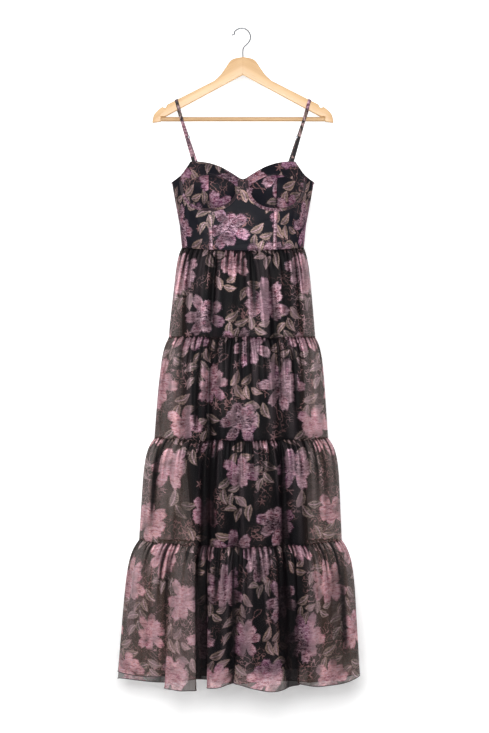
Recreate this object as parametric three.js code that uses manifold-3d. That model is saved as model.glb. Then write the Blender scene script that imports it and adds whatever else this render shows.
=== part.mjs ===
// A strappy maxi dress with a cupped bodice and four gathered skirt tiers, hanging on a wooden hanger.
// Millimetres, +Z up, the dress faces -Y. The origin is the inside of the hook's bend,
// where it bears on a rail.

import * as THREE from "three";
import { mergeVertices } from "three/addons/utils/BufferGeometryUtils.js";
import Module from "manifold-3d";

const { lerp, clamp } = THREE.MathUtils;
const FRONT = -1;
const BACK = 1;

// Cloth: the gap left at every seam and the wall of each layer.
const SEAM_GAP = 0.3;
const SKIRT_WALL = 1.4;
const LINING_WALL = 1.0;
const BODICE_WALL = 1.8;
const CUP_WALL = 2.6;

// Skirt seams from the waist down: height at the middle, rise at the sides, sideways drift,
// half width, and depth of the front and the back.
const SEAMS = [
  { z: -546, sideLift: 10, centre: 0, half: 149.5, front: 38, back: 30 },
  { z: -758, sideLift: 2, centre: -2, half: 179.5, front: 49, back: 41 },
  { z: -1007, sideLift: 4, centre: -4, half: 213, front: 56, back: 48 },
  { z: -1264, sideLift: 12, centre: -6, half: 248.5, front: 62, back: 54 },
  { z: -1607, sideLift: 20, centre: -10, half: 296.5, front: 68, back: 60 },
];
const WAIST = SEAMS[0];
const HEM = SEAMS[SEAMS.length - 1];

// Each tier swells below its gathers: by how much at the sides, and over what length.
const TIERS = [
  { name: "tier_1", puff: 10, ease: 28, rows: [0, 0.05, 0.22, 0.58, 1] },
  { name: "tier_2", puff: 15, ease: 28, rows: [0, 0.045, 0.2, 0.56, 1] },
  { name: "tier_3", puff: 22, ease: 28, rows: [0, 0.045, 0.2, 0.56, 1] },
  { name: "tier_4", puff: 26, ease: 35, rows: [0, 0.035, 0.15, 0.36, 0.68, 1] },
];
const DEPTH_PUFF_SHARE = 0.45;

// Half the gap at the first tier's centre-back seam, as a share of the length round its back.
const BACK_GAP_SHARE = SEAM_GAP / 2 / 340;

// Gathers: two columns of a panel make one ridge and one furrow.
const GATHERS_PER_PANEL = 24;
const GATHER_HEIGHT = 2;
const GATHER_AT_SEAM = 0.25;
const GATHER_RISE = 9;
const GATHER_FADE = 70;
const GATHER_UNEVENNESS = 0.35;

// Large folds run from the waist to the hem: place across the panel (-1 left to 1 right) at both ends,
// width as a share of the half width, and height at the hem, negative for a furrow.
const FRONT_FOLDS = [
  { waistAt: -0.86, hemAt: -0.8, width: 0.1, height: 5 },
  { waistAt: -0.72, hemAt: -0.6, width: 0.1, height: -10 },
  { waistAt: -0.6, hemAt: -0.43, width: 0.11, height: 9 },
  { waistAt: -0.46, hemAt: -0.27, width: 0.1, height: -17 },
  { waistAt: -0.12, hemAt: -0.06, width: 0.13, height: 8 },
  { waistAt: 0.22, hemAt: 0.17, width: 0.09, height: -10 },
  { waistAt: 0.38, hemAt: 0.32, width: 0.1, height: 8 },
  { waistAt: 0.55, hemAt: 0.47, width: 0.1, height: -17 },
  { waistAt: 0.68, hemAt: 0.59, width: 0.08, height: 6 },
  { waistAt: 0.8, hemAt: 0.7, width: 0.08, height: -8 },
];
const BACK_FOLDS = [
  { waistAt: -0.74, hemAt: -0.66, width: 0.11, height: -10 },
  { waistAt: -0.52, hemAt: -0.46, width: 0.12, height: 8 },
  { waistAt: -0.36, hemAt: -0.26, width: 0.1, height: -14 },
  { waistAt: -0.05, hemAt: 0.02, width: 0.13, height: 8 },
  { waistAt: 0.26, hemAt: 0.24, width: 0.1, height: -13 },
  { waistAt: 0.46, hemAt: 0.42, width: 0.12, height: 8 },
  { waistAt: 0.66, hemAt: 0.62, width: 0.1, height: -10 },
];
const FOLD_GROWTH = 0.6;

// The lining slip hangs a little askew inside the sheer tiers and stops short of their hem.
const LINING = [
  { z: -547, centre: 0, half: 147, front: 35.5, back: 27.5 },
  { z: -640, centre: 0, half: 148, front: 33, back: 27 },
  { z: -800, centre: 0, half: 150, front: 33, back: 28 },
  { z: -1000, centre: 3, half: 150, front: 35, back: 30 },
  { z: -1200, centre: 16, half: 143, front: 38, back: 33 },
  { z: -1400, centre: 27, half: 137, front: 40, back: 35 },
  { z: -1563, centre: 30, half: 134, front: 42, back: 37 },
];
const LINING_COLUMNS = 16;
const LINING_RIPPLES = 4;
const LINING_RIPPLE = 1.6;
const LINING_TOP_DROP = 1;

// The bodice without its cups: half width and depth of the front and the back at each height.
const BODICE = [
  { z: -331, half: 182, front: 41, back: 32 },
  { z: -378, half: 175, front: 43, back: 33 },
  { z: -424, half: 166.6, front: 43.5, back: 33 },
  { z: -483, half: 155.6, front: 41, back: 31.5 },
  { z: -546, half: 149.5, front: 38, back: 30 },
];
const UNDERARM = { x: 175, z: -378 };
const BACK_DIP = 6;

// Sweetheart neckline and armhole edge of the right half, seen from the front.
const NECKLINE = [
  { x: 0, z: -374 },
  { x: 9, z: -371 },
  { x: 19, z: -365 },
  { x: 36, z: -355 },
  { x: 53, z: -345.5 },
  { x: 67, z: -340 },
  { x: 81, z: -335.7 },
  { x: 98, z: -332.5 },
  { x: 113, z: -331 },
  { x: 127, z: -331 },
];
const ARMHOLE = [
  { x: 127, z: -331 },
  { x: 130, z: -336 },
  { x: 137, z: -345.5 },
  { x: 144, z: -355 },
  { x: 152, z: -363 },
  { x: 163, z: -371 },
  { x: 175, z: -378 },
];
const CUP_ENDS_AT = 4;

// Cups: the wire is a rounded U, and the cloth inside it swells forward.
const CUP_X = 80;
const WIRE_HALF = 71;
const WIRE_TOP_Z = -374;
const WIRE_DROP = 73;
const WIRE_ROUNDNESS = 2.3;
const CUP_SWELL = 34;
const CUP_EDGE = 0.8;
const CUP_FULLEST_Z = -398;
const CUP_TOP_Z = -331;
const CUP_TOP_SHARE = 0.42;

// The seam across each cup arches up over its middle, and a short seam runs down from there to the wire.
const ARCH_X = 83;
const ARCH_Z = -364;
const ARCH_MEETS_WIRE = 0.24;
const CUP_SEAM_BOTTOM_X = 80;

// Princess seams run from the wire to the waist.
const PRINCESS_WAIST_X = 77;
const UNDER_WIRE_END_X = 137;

// Casings sewn over the seams.
const WIRE_CASING = { half: 3, thick: 1, crown: 0.9, stations: 22, endTurn: 0.02 };
const BONE_CASING = { half: 4.5, thick: 0.9, crown: 0.5, top: -451.5, rows: 4 };
const LIFT_OFF_PANEL = [0.6, 0.7, 1.1];

// Room left inside a curved wall for its flat facets.
const FACET_SAG = 1.7;

// Facets: steps to measure an ellipse, columns along half a wire, and rows down each bodice panel.
const ELLIPSE_STEPS = 180;
const WIRE_COLUMNS = 6;
const ROWS = { centreFront: 6, sideFront: 9, upperCup: 3, lowerCup: 5, back: 4, tape: 4 };
const BACK_COLUMNS = 8;

// Hanger, cut from one thickness of wood.
const HANGER_THICK = 12;
const HANGER_BEVEL = 1.6;
const HANGER_TOP_Z = -69;
const ARM_SLOPE = 0.507;
const ARM_START = { x: 70, z: -127.5 };
const UNDER_APEX_Z = -112.7;
const UNDER_SLOPE = 0.54;
const HEAD_CURVE = [
  { x: 0, z: HANGER_TOP_Z },
  { x: 27, z: -76 },
  { x: 44, z: -98 },
  { x: 55, z: -113.5 },
  { x: 70, z: -127.5 },
];
const HEAD_FACETS = 10;
const NOTCH = { x: 191, half: 6, floor: 2, depth: 5 };
const TIP_CURVE = [
  { x: 197, z: -190.9 },
  { x: 209.5, z: -201 },
  { x: 218, z: -212 },
  { x: 222, z: -230.5 },
];
const TIP_FACETS = 6;
const BAR_DIAMETER = 11;
const BAR_Z = -221.2;
const BAR_HALF = 200;
const BAR_FACETS = 16;

// Wire hook.
const HOOK_WIRE = 3.6;
const HOOK_RADIUS = 21.5;
const HOOK_CENTRE_X = -3;
const HOOK_TIP = { x: -27.5, z: -15 };
const HOOK_CURL = { x: 6, z: 2 };
const HOOK_BEND = [140, 110, 80, 50, 20, -10, -38];
const HOOK_SHANK = [
  { x: 2.5, below: 25 },
  { x: 0, below: 33 },
];
const HOOK_STEPS = 34;

// Straps: a flat ribbon over the hanger's arm, with a slider and a ring on the back strand.
const STRAP_WIDTH = 8;
const STRAP_THICK = 1.1;
const STRAP_X_ON_HANGER = 163;
const STRAP_X_ON_CUP = 121.5;
const STRAP_X_ON_RING = 101;
const RING_INSET = 5;
const STRAP_SEWN_DEPTH = 9;
const STRAP_CORNER = 1.5;
const STRAP_ON_ARM = 9;
const STRANDS_SPREAD = 40;
const RING_Z = -366;
const SLIDER_Z = -264;
const STRAND_SPACING = 4;
const RING = { wide: 13, tall: 9, bar: 1.7, thick: 1.7 };
const SLIDER = { wide: 12, deep: 6.6, tall: 7, wall: 1.6 };
const TAB_SEWN_Z = -396;
const TAB_LEAN = 4;

// Concealed zip in the centre-back seam: only the slider and its pull tab stand out.
const ZIP = { top: -385, bottom: -542, half: 11, thick: 1 };
const ZIP_SLIDER = { wide: 5, tall: 9, thick: 2.2, z: -391 };
const ZIP_BRIDGE = { wide: 1.2, outer: 2.7, inner: 1.5 };
const PULL = { wide: 6, length: 19, thick: 1.1, bar: 1.1, eye: 2.6, corner: 1, taper: 0.6 };

const ORGANZA = material("#2a262a", 0.5, 0.1);
const BODICE_CLOTH = material("#2b2830", 0.45, 0.1);
const LINING_CLOTH = material("#151519", 0.7, 0);
const CASING_CLOTH = material("#8a6873", 0.45, 0.1);
const STRAP_CLOTH = material("#5a4750", 0.5, 0.05);
const WOOD = material("#eac58f", 0.5, 0);
const STEEL = material("#b9bcc0", 0.25, 1);
const ZIP_TAPE_CLOTH = material("#1b191c", 0.8, 0);

function material(color, roughness, metalness) {
  return new THREE.MeshStandardMaterial({ color, roughness, metalness });
}

const dress = new THREE.Group();

function add(name, geometry, look, parent = dress) {
  const mesh = new THREE.Mesh(geometry, look);
  mesh.name = name;
  parent.add(mesh);
  return mesh;
}

// A column of a table whose rows run downwards, straight between rows.
function tableAt(rows, column, z) {
  const next = clamp(
    rows.findIndex((row) => row.z <= z),
    1,
    rows.length - 1,
  );
  const low = z < rows[rows.length - 1].z ? rows.length - 1 : next;
  const [a, b] = [rows[low - 1], rows[low]];
  return lerp(a[column], b[column], clamp((z - a.z) / (b.z - a.z), 0, 1));
}

// A closed wall between two grids of points. Rows run downwards and columns from left to right,
// both as seen from outside. A mirrored wall cuts its squares along the other diagonal.
function wall(outer, inner, isMirrored = false) {
  const rows = outer.length;
  const columns = outer[0].length;
  const out = (r, c) => r * columns + c;
  const ins = (r, c) => rows * columns + r * columns + c;
  const faces = [];
  const quad = (a, b, c, d) => faces.push(...(isMirrored ? [b, c, d, b, d, a] : [a, b, c, a, c, d]));
  const [last, end] = [rows - 1, columns - 1];
  for (let r = 0; r < last; r++) {
    for (let c = 0; c < end; c++) {
      quad(out(r, c), out(r + 1, c), out(r + 1, c + 1), out(r, c + 1));
      quad(ins(r, c), ins(r, c + 1), ins(r + 1, c + 1), ins(r + 1, c));
    }
    quad(out(r + 1, 0), out(r, 0), ins(r, 0), ins(r + 1, 0));
    quad(out(r, end), out(r + 1, end), ins(r + 1, end), ins(r, end));
  }
  for (let c = 0; c < end; c++) {
    quad(out(0, c), out(0, c + 1), ins(0, c + 1), ins(0, c));
    quad(out(last, c + 1), out(last, c), ins(last, c), ins(last, c + 1));
  }
  const points = [...outer.flat(), ...inner.flat()];
  return new THREE.BufferGeometry().setFromPoints(points).setIndex(faces);
}

// The same grid for the other half of the dress.
function mirrored(grid) {
  return grid.map((row) => row.map((p) => new THREE.Vector3(-p.x, p.y, p.z)).reverse());
}

function addPair(name, [outer, inner], look) {
  add(`${name}_right`, wall(outer, inner), look);
  add(`${name}_left`, wall(mirrored(outer), mirrored(inner), true), look);
}

// Skirt

function seamZ(seam, across) {
  return seam.z + seam.sideLift * across * across;
}

// Angles round half an ellipse at shares of its length, from its left end as seen from outside.
function evenAngles(half, depth, shares) {
  const steps = ELLIPSE_STEPS;
  const lengths = [0];
  for (let i = 1; i <= steps; i++) {
    const angle = (Math.PI * (i - 0.5)) / steps;
    const piece = Math.hypot(half * Math.sin(angle), depth * Math.cos(angle));
    lengths.push(lengths[i - 1] + piece);
  }
  return shares.map((share) => {
    const target = share * lengths[steps];
    const i = clamp(lengths.findIndex((length) => length >= target), 1, steps);
    const part = (target - lengths[i - 1]) / (lengths[i] - lengths[i - 1]);
    return (Math.PI * (i - 1 + part)) / steps;
  });
}

function foldHeight(side, across, z) {
  const down = clamp((z - WAIST.z) / (HEM.z - WAIST.z), 0, 1);
  const folds = side === FRONT ? FRONT_FOLDS : BACK_FOLDS;
  const total = folds.reduce((sum, fold) => {
    const offset = (across - lerp(fold.waistAt, fold.hemAt, down)) / fold.width;
    return sum + fold.height * Math.exp(-offset * offset);
  }, 0);
  return total * down ** FOLD_GROWTH * Math.sqrt(1 - across * across);
}

// Ridges and furrows of the gathers, uneven in height, fading towards the tier's lower edge.
function gatherHeight(column, columns, drop, height) {
  if (column === 0 || column === columns) return 0;
  const sign = column % 2 ? 1 : -1;
  const uneven = 1 - GATHER_UNEVENNESS * (0.5 + 0.5 * Math.cos(2.4 * column));
  const rise = lerp(GATHER_AT_SEAM, 1, clamp(drop / GATHER_RISE, 0, 1));
  const fade = Math.exp(-drop / GATHER_FADE) * (1 - drop / height);
  return sign * GATHER_HEIGHT * uneven * rise * fade;
}

// One tier's outer and inner points over a stretch of its front or back.
function tierGrids(index, side, from, to) {
  const tier = TIERS[index];
  const [top, bottom] = [SEAMS[index], SEAMS[index + 1]];
  const height = top.z - bottom.z;
  const depthKey = side === FRONT ? "front" : "back";
  const columns = Math.round(2 * GATHERS_PER_PANEL * (to - from));
  const shares = Array.from({ length: columns + 1 }, (_, c) => lerp(from, to, c / columns));
  const grids = { outer: [], inner: [] };
  for (const down of tier.rows) {
    const drop = down * height;
    const swell = tier.puff * (1 - Math.exp(-drop / tier.ease) - down);
    const half = lerp(top.half, bottom.half, down) + swell;
    const depth = lerp(top[depthKey], bottom[depthKey], down) + swell * DEPTH_PUFF_SHARE;
    const centre = lerp(top.centre, bottom.centre, down);
    const angles = evenAngles(half, depth, shares);
    const rowAt = (inset) =>
      angles.map((angle, c) => {
        const across = side * Math.cos(angle);
        const seamGap = (SEAM_GAP / 2) * (down === 0 ? -1 : down === 1 ? 1 : 0);
        const z = lerp(seamZ(top, across), seamZ(bottom, across), down) + seamGap;
        const normal = new THREE.Vector2(depth * Math.cos(angle), half * Math.sin(angle)).normalize();
        const lift = foldHeight(side, across, z) + gatherHeight(c, columns, drop, height) - inset;
        return new THREE.Vector3(
          centre + side * (half * Math.cos(angle) + normal.x * lift),
          side * (depth * Math.sin(angle) + normal.y * lift + SEAM_GAP / 2),
          z,
        );
      });
    grids.outer.push(rowAt(0));
    grids.inner.push(rowAt(SKIRT_WALL));
  }
  return grids;
}

function addTier(index, label, side, from = 0, to = 1) {
  const { outer, inner } = tierGrids(index, side, from, to);
  add(`${TIERS[index].name}_${label}`, wall(outer, inner), ORGANZA);
}

TIERS.forEach((tier, index) => {
  addTier(index, "front", FRONT);
  if (index > 0) addTier(index, "back", BACK);
});
// The first tier's back is cut in two, because the zip seam runs down into it.
addTier(0, "back_right", BACK, 0, 0.5 - BACK_GAP_SHARE);
addTier(0, "back_left", BACK, 0.5 + BACK_GAP_SHARE, 1);

// Lining

function liningGrid(side, inset) {
  const depthKey = side === FRONT ? "front" : "back";
  const shares = Array.from({ length: LINING_COLUMNS + 1 }, (_, c) => c / LINING_COLUMNS);
  return LINING.map((row, r) => {
    const angles = evenAngles(row.half, row[depthKey], shares);
    return angles.map((angle, c) => {
      const across = side * Math.cos(angle);
      const depth = row[depthKey];
      const normal = new THREE.Vector2(depth * Math.cos(angle), row.half * Math.sin(angle)).normalize();
      const ripple = Math.cos(2 * Math.PI * LINING_RIPPLES * shares[c]) * Math.sin(angle);
      const lift = (-LINING_RIPPLE * (1 - ripple) * r) / (LINING.length - 1) - inset;
      const z = r === 0 ? seamZ(WAIST, across) - LINING_TOP_DROP : row.z;
      return new THREE.Vector3(
        row.centre + side * (row.half * Math.cos(angle) + normal.x * lift),
        side * (depth * Math.sin(angle) + normal.y * lift + SEAM_GAP / 2),
        z,
      );
    });
  });
}

add("lining_front", wall(liningGrid(FRONT, 0), liningGrid(FRONT, LINING_WALL)), LINING_CLOTH);
add("lining_back", wall(liningGrid(BACK, 0), liningGrid(BACK, LINING_WALL)), LINING_CLOTH);

// Bodice

function cupSwell(x, z) {
  const sideways = Math.abs(Math.abs(x) - CUP_X) / WIRE_HALF;
  const down = Math.max(0, WIRE_TOP_Z - z) / WIRE_DROP;
  const reach = sideways ** WIRE_ROUNDNESS + down ** WIRE_ROUNDNESS;
  if (reach >= 1) return 0;
  const upper = clamp((z - CUP_FULLEST_Z) / (CUP_TOP_Z - CUP_FULLEST_Z), 0, 1);
  const towardsTop = lerp(1, CUP_TOP_SHARE, upper * upper * (3 - 2 * upper));
  return CUP_SWELL * (1 - reach) ** CUP_EDGE * towardsTop;
}

// A point of the bodice at an angle from the middle (0) to the side seam (a quarter turn).
function bodicePoint(side, angle, z) {
  const x = tableAt(BODICE, "half", z) * Math.sin(angle);
  const depth = tableAt(BODICE, side === FRONT ? "front" : "back", z) * Math.cos(angle);
  const swell = side === FRONT ? cupSwell(x, z) : 0;
  return new THREE.Vector3(x, side * (depth + swell + SEAM_GAP / 2), z);
}

function bodiceAngle(x, z) {
  return Math.asin(clamp(x / tableAt(BODICE, "half", z), -1, 1));
}

function bodiceNormal(side, angle, z) {
  const step = 0.02;
  const clear = (a) => clamp(a, -Math.PI / 2, Math.PI / 2);
  const across = bodicePoint(side, clear(angle + step), z).sub(bodicePoint(side, clear(angle - step), z));
  const up = bodicePoint(side, angle, z + 1).sub(bodicePoint(side, angle, z - 1));
  return across.cross(up).multiplyScalar(-side).normalize();
}

// A panel between an upper and a lower edge, given as the same number of {x, z} points.
function bodiceGrid(side, upper, lower, rows, thick) {
  return Array.from({ length: rows + 1 }, (_, r) =>
    upper.map((top, c) => {
      const bottom = lower[c];
      const z = lerp(top.z, bottom.z, r / rows);
      const angle = lerp(bodiceAngle(top.x, top.z), bodiceAngle(bottom.x, bottom.z), r / rows);
      const normal = bodiceNormal(side, angle, z);
      return bodicePoint(side, angle, z).addScaledVector(normal, -thick);
    }),
  );
}

// The outer and inner points of such a panel.
function panelGrids(side, upper, lower, rows, thick) {
  return [bodiceGrid(side, upper, lower, rows, 0), bodiceGrid(side, upper, lower, rows, thick)];
}

function edgePoints(count, at) {
  return Array.from({ length: count + 1 }, (_, i) => at(i / count));
}

// The wire's line from its inner top (0) through its lowest point to its outer top (a half turn).
function wirePoint(turn, outset = 0) {
  const power = 2 / WIRE_ROUNDNESS;
  const sideways = Math.sign(Math.cos(turn)) * Math.abs(Math.cos(turn)) ** power;
  return {
    x: CUP_X - (WIRE_HALF + outset) * sideways,
    z: WIRE_TOP_Z - (WIRE_DROP + outset) * Math.sin(turn) ** power,
  };
}

const HALF_GAP = SEAM_GAP / 2 + 0.05;
const SEAM_SHIFT = SEAM_GAP / 2;
const ARCH_INNER = wirePoint(ARCH_MEETS_WIRE, -HALF_GAP);
const ARCH_OUTER = wirePoint(Math.PI - ARCH_MEETS_WIRE, -HALF_GAP);

function archPoint(x, shift) {
  const end = x < ARCH_X ? ARCH_INNER : ARCH_OUTER;
  const part = (x - ARCH_X) / (end.x - ARCH_X);
  return { x, z: lerp(ARCH_Z, end.z, part * part) + shift };
}

// Turns along the wire's inner half, shared by the cup and the panel that meet there.
const WIRE_TURNS = edgePoints(WIRE_COLUMNS, (t) => lerp(ARCH_MEETS_WIRE, Math.PI / 2, t));

function waistPoint(x) {
  const across = x / WAIST.half;
  return { x, z: seamZ(WAIST, across) + SEAM_GAP / 2 };
}

// Centre front with the gore between the cups.
const goreSide = [0, ...WIRE_TURNS].map((turn) => {
  const { x, z } = wirePoint(turn, HALF_GAP);
  return { x: Math.min(x, CUP_X - SEAM_SHIFT), z };
});
const goreTop = { x: 0, z: NECKLINE[0].z };
const leftGore = goreSide.map(({ x, z }) => ({ x: -x, z })).reverse();
const centreUpper = [...leftGore, goreTop, ...goreSide];
const centreLower = edgePoints(centreUpper.length - 1, (t) =>
  waistPoint(lerp(-1, 1, t) * (PRINCESS_WAIST_X - SEAM_SHIFT)),
);
const centreGrids = panelGrids(FRONT, centreUpper, centreLower, ROWS.centreFront, BODICE_WALL);
add("bodice_centre_front", wall(...centreGrids), BODICE_CLOTH);

// Side fronts, from the princess seam to the side seam.
const wireOuterHalf = [0, ...WIRE_TURNS]
  .map((turn) => {
    const { x, z } = wirePoint(Math.PI - turn, HALF_GAP);
    return { x: Math.max(x, CUP_X + SEAM_SHIFT), z };
  })
  .reverse();
const armholeEnd = ARMHOLE.slice(CUP_ENDS_AT).map((p, i) => (i === 0 ? { x: p.x + SEAM_SHIFT, z: p.z } : p));
const sideUpper = [...wireOuterHalf, ...armholeEnd];
const sideLower = [
  ...edgePoints(wireOuterHalf.length - 1, (t) => lerp(PRINCESS_WAIST_X + SEAM_SHIFT, UNDER_WIRE_END_X, t)),
  ...edgePoints(armholeEnd.length, (t) => lerp(UNDER_WIRE_END_X, WAIST.half, t)).slice(1),
].map(waistPoint);
const sideGrids = panelGrids(FRONT, sideUpper, sideLower, ROWS.sideFront, BODICE_WALL);
addPair("bodice_side_front", sideGrids, BODICE_CLOTH);

// Upper cup: from the arched seam to the neckline and the armhole edge.
const cupArmhole = ARMHOLE.slice(1, CUP_ENDS_AT + 1);
const upperCupTop = [...NECKLINE.slice(1), ...cupArmhole].map((p, i, all) => {
  if (i === 0) return { x: p.x + SEAM_SHIFT, z: p.z };
  return i === all.length - 1 ? { x: p.x - HALF_GAP, z: p.z } : p;
});
const upperCupBottom = [
  ...edgePoints(WIRE_COLUMNS, (t) => lerp(ARCH_INNER.x, ARCH_X, t)),
  ...edgePoints(WIRE_COLUMNS, (t) => lerp(ARCH_X, ARCH_OUTER.x, t)).slice(1),
].map((x) => archPoint(x, SEAM_SHIFT));
addPair("cup_upper", panelGrids(FRONT, upperCupTop, upperCupBottom, ROWS.upperCup, CUP_WALL), BODICE_CLOTH);

// Lower cups, on either side of the short seam.
function addLowerCup(name, fromX, toX, lower) {
  const upper = edgePoints(WIRE_COLUMNS, (t) => archPoint(lerp(fromX, toX, t), -SEAM_SHIFT));
  addPair(name, panelGrids(FRONT, upper, lower, ROWS.lowerCup, CUP_WALL), BODICE_CLOTH);
}

const underInner = WIRE_TURNS.map((turn) => wirePoint(turn, -HALF_GAP));
const underOuter = underInner.map(({ x, z }) => ({ x: 2 * CUP_X - x, z })).reverse();
underInner[WIRE_COLUMNS].x -= SEAM_SHIFT;
underOuter[0].x += SEAM_SHIFT;
addLowerCup("cup_lower_inner", ARCH_INNER.x, ARCH_X - SEAM_SHIFT, underInner);
addLowerCup("cup_lower_outer", ARCH_X + SEAM_SHIFT, ARCH_OUTER.x, underOuter);

// A point of the front at {x, z}, moved out of the cloth.
function inFrontOf({ x, z }, lift) {
  const point = bodicePoint(FRONT, bodiceAngle(x, z), z);
  point.y -= lift;
  return point;
}

// A strip sewn over a seam: each row holds the points of its left edge, middle and right edge.
function addCasing(name, rows, { thick, crown }) {
  const lifted = (heights) =>
    rows.map((row) => row.map((point, i) => inFrontOf(point, LIFT_OFF_PANEL[i] + heights[i])));
  addPair(name, [lifted([thick, thick + crown, thick]), lifted([0, 0, 0])], CASING_CLOTH);
}

const wireRows = edgePoints(WIRE_CASING.stations, (t) => {
  const turn = lerp(WIRE_CASING.endTurn, Math.PI - WIRE_CASING.endTurn, t);
  const here = wirePoint(turn);
  const before = wirePoint(turn - WIRE_CASING.endTurn / 2);
  const after = wirePoint(turn + WIRE_CASING.endTurn / 2);
  const along = new THREE.Vector2(after.x - before.x, after.z - before.z).normalize();
  const beside = (distance) => ({ x: here.x - along.y * distance, z: here.z + along.x * distance });
  return [beside(-WIRE_CASING.half), here, beside(WIRE_CASING.half)];
});
addCasing("wire_casing", wireRows, WIRE_CASING);

const boneRows = edgePoints(BONE_CASING.rows, (t) => {
  const middle = lerp(CUP_SEAM_BOTTOM_X, PRINCESS_WAIST_X, t);
  const z = lerp(BONE_CASING.top, waistPoint(middle).z + SEAM_GAP, t);
  return [-1, 0, 1].map((sign) => ({ x: middle + sign * BONE_CASING.half, z }));
});
addCasing("bone_casing", boneRows, BONE_CASING);

// Back panels, from the side seam to the zip.
const backUpper = edgePoints(BACK_COLUMNS, (t) => ({
  x: lerp(UNDERARM.x, SEAM_SHIFT, t),
  z: UNDERARM.z - BACK_DIP * Math.sin((Math.PI / 2) * t),
}));
const backLower = edgePoints(BACK_COLUMNS, (t) => waistPoint(lerp(WAIST.half, SEAM_SHIFT, t)));
addPair("bodice_back", panelGrids(BACK, backUpper, backLower, ROWS.back, BODICE_WALL), BODICE_CLOTH);

// Straps

// A flat ribbon along stations of a place and the direction across the ribbon there.
function ribbon(stations, width, thick) {
  const places = stations.map((s) => s.place);
  const corner = (i, sideways, outwards) => {
    const before = places[Math.max(i - 1, 0)];
    const after = places[Math.min(i + 1, places.length - 1)];
    const along = after.clone().sub(before).normalize();
    const given = stations[i].across;
    const across = given.clone().addScaledVector(along, -given.dot(along)).normalize();
    const out = along.clone().cross(across);
    return places[i]
      .clone()
      .addScaledVector(across, (sideways * width) / 2)
      .addScaledVector(out, (outwards * thick) / 2);
  };
  const face = (outwards) => stations.map((_, i) => [corner(i, -1, outwards), corner(i, 1, outwards)]);
  return wall(face(1), face(-1));
}

function armTopZ(x) {
  return ARM_START.z - ARM_SLOPE * (x - ARM_START.x);
}

const place = (x, y, z) => new THREE.Vector3(x, y, z);
const strapLift = 1.5 * SEAM_GAP + STRAP_THICK / 2;
const frontFaceY = -HANGER_THICK / 2 - strapLift;
const armTop = armTopZ(STRAP_X_ON_HANGER);
const acrossArm = place(1, 0, -ARM_SLOPE).normalize();
const cupTopZ = NECKLINE[NECKLINE.length - 1].z;

// The strap's end lies inside the cup, sewn to its wall.
function insideCup(x, z) {
  const angle = bodiceAngle(x, z);
  const depth = CUP_WALL + FACET_SAG + STRAP_THICK / 2;
  return bodicePoint(FRONT, angle, z).addScaledVector(bodiceNormal(FRONT, angle, z), -depth);
}

const frontSlant = (STRAP_X_ON_HANGER - STRAP_X_ON_CUP) / (armTop - cupTopZ);
const frontAcross = place(1, 0, -frontSlant).normalize();
const sewnEnd = insideCup(STRAP_X_ON_CUP - frontSlant * STRAP_SEWN_DEPTH, cupTopZ - STRAP_SEWN_DEPTH);
const cupEdge = insideCup(STRAP_X_ON_CUP, cupTopZ + STRAP_CORNER);

// The back strand runs straight from the hanger to the ring.
const backTop = place(STRAP_X_ON_HANGER, -frontFaceY, armTop - STRAP_ON_ARM);
const ringAngle = bodiceAngle(STRAP_X_ON_RING - RING_INSET, UNDERARM.z);
const ringY = tableAt(BODICE, "back", UNDERARM.z) * Math.cos(ringAngle) - RING_INSET + 1;
const ringTurn = place(STRAP_X_ON_RING, ringY, RING_Z);
const downBack = ringTurn.clone().sub(backTop).normalize();
const backAcross = place(-downBack.z, 0, downBack.x).normalize();
const outOfBack = backAcross.clone().cross(downBack).normalize();

function onBackStrand(z, outwards) {
  const share = (z - backTop.z) / (ringTurn.z - backTop.z);
  return backTop.clone().lerp(ringTurn, share).addScaledVector(outOfBack, outwards);
}

const halfSpacing = STRAND_SPACING / 2;
const sliderSpacing = (STRAP_THICK + SEAM_GAP) / 2;

// Stations of a half turn round a ring's bar: how far past it, and how far out.
const LOOP_TURN = [
  { past: 0, out: 1 },
  { past: 1.5, out: 0.75 },
  { past: 2.3, out: 0 },
  { past: 1.5, out: -0.75 },
  { past: 0, out: -1 },
];
const onStrand = (z, outwards) => ({ place: onBackStrand(z, outwards), across: backAcross });
const onArm = (y, z) => ({ place: place(STRAP_X_ON_HANGER, y, z), across: acrossArm });
const frontFoot = armTop - STRAP_ON_ARM;
const strapStations = [
  { place: sewnEnd, across: frontAcross },
  { place: cupEdge, across: frontAcross },
  { place: place(STRAP_X_ON_HANGER - STRAP_ON_ARM * frontSlant, frontFaceY, frontFoot), across: frontAcross },
  onArm(frontFaceY, armTop - STRAP_CORNER),
  onArm(frontFaceY + STRAP_CORNER, armTop + strapLift),
  onArm(-frontFaceY - STRAP_CORNER, armTop + strapLift),
  onArm(-frontFaceY, armTop - STRAP_CORNER),
  { place: backTop, across: backAcross },
  onStrand(SLIDER_Z + SLIDER.tall, sliderSpacing),
  onStrand(SLIDER_Z - SLIDER.tall, sliderSpacing),
  onStrand(SLIDER_Z - STRANDS_SPREAD, halfSpacing),
  ...LOOP_TURN.map(({ past, out }) => onStrand(RING_Z - past, out * halfSpacing)),
  onStrand(SLIDER_Z - STRANDS_SPREAD, -halfSpacing),
  onStrand(SLIDER_Z - SLIDER.tall, -sliderSpacing),
  onStrand(SLIDER_Z + SLIDER.tall / 2, -sliderSpacing),
];

function mirroredStations(stations) {
  const flip = (v) => place(-v.x, v.y, v.z);
  return stations.map((s) => ({ place: flip(s.place), across: flip(s.across).negate() }));
}

add("strap_right", ribbon(strapStations, STRAP_WIDTH, STRAP_THICK), STRAP_CLOTH);
add("strap_left", ribbon(mirroredStations(strapStations), STRAP_WIDTH, STRAP_THICK), STRAP_CLOTH);

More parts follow.
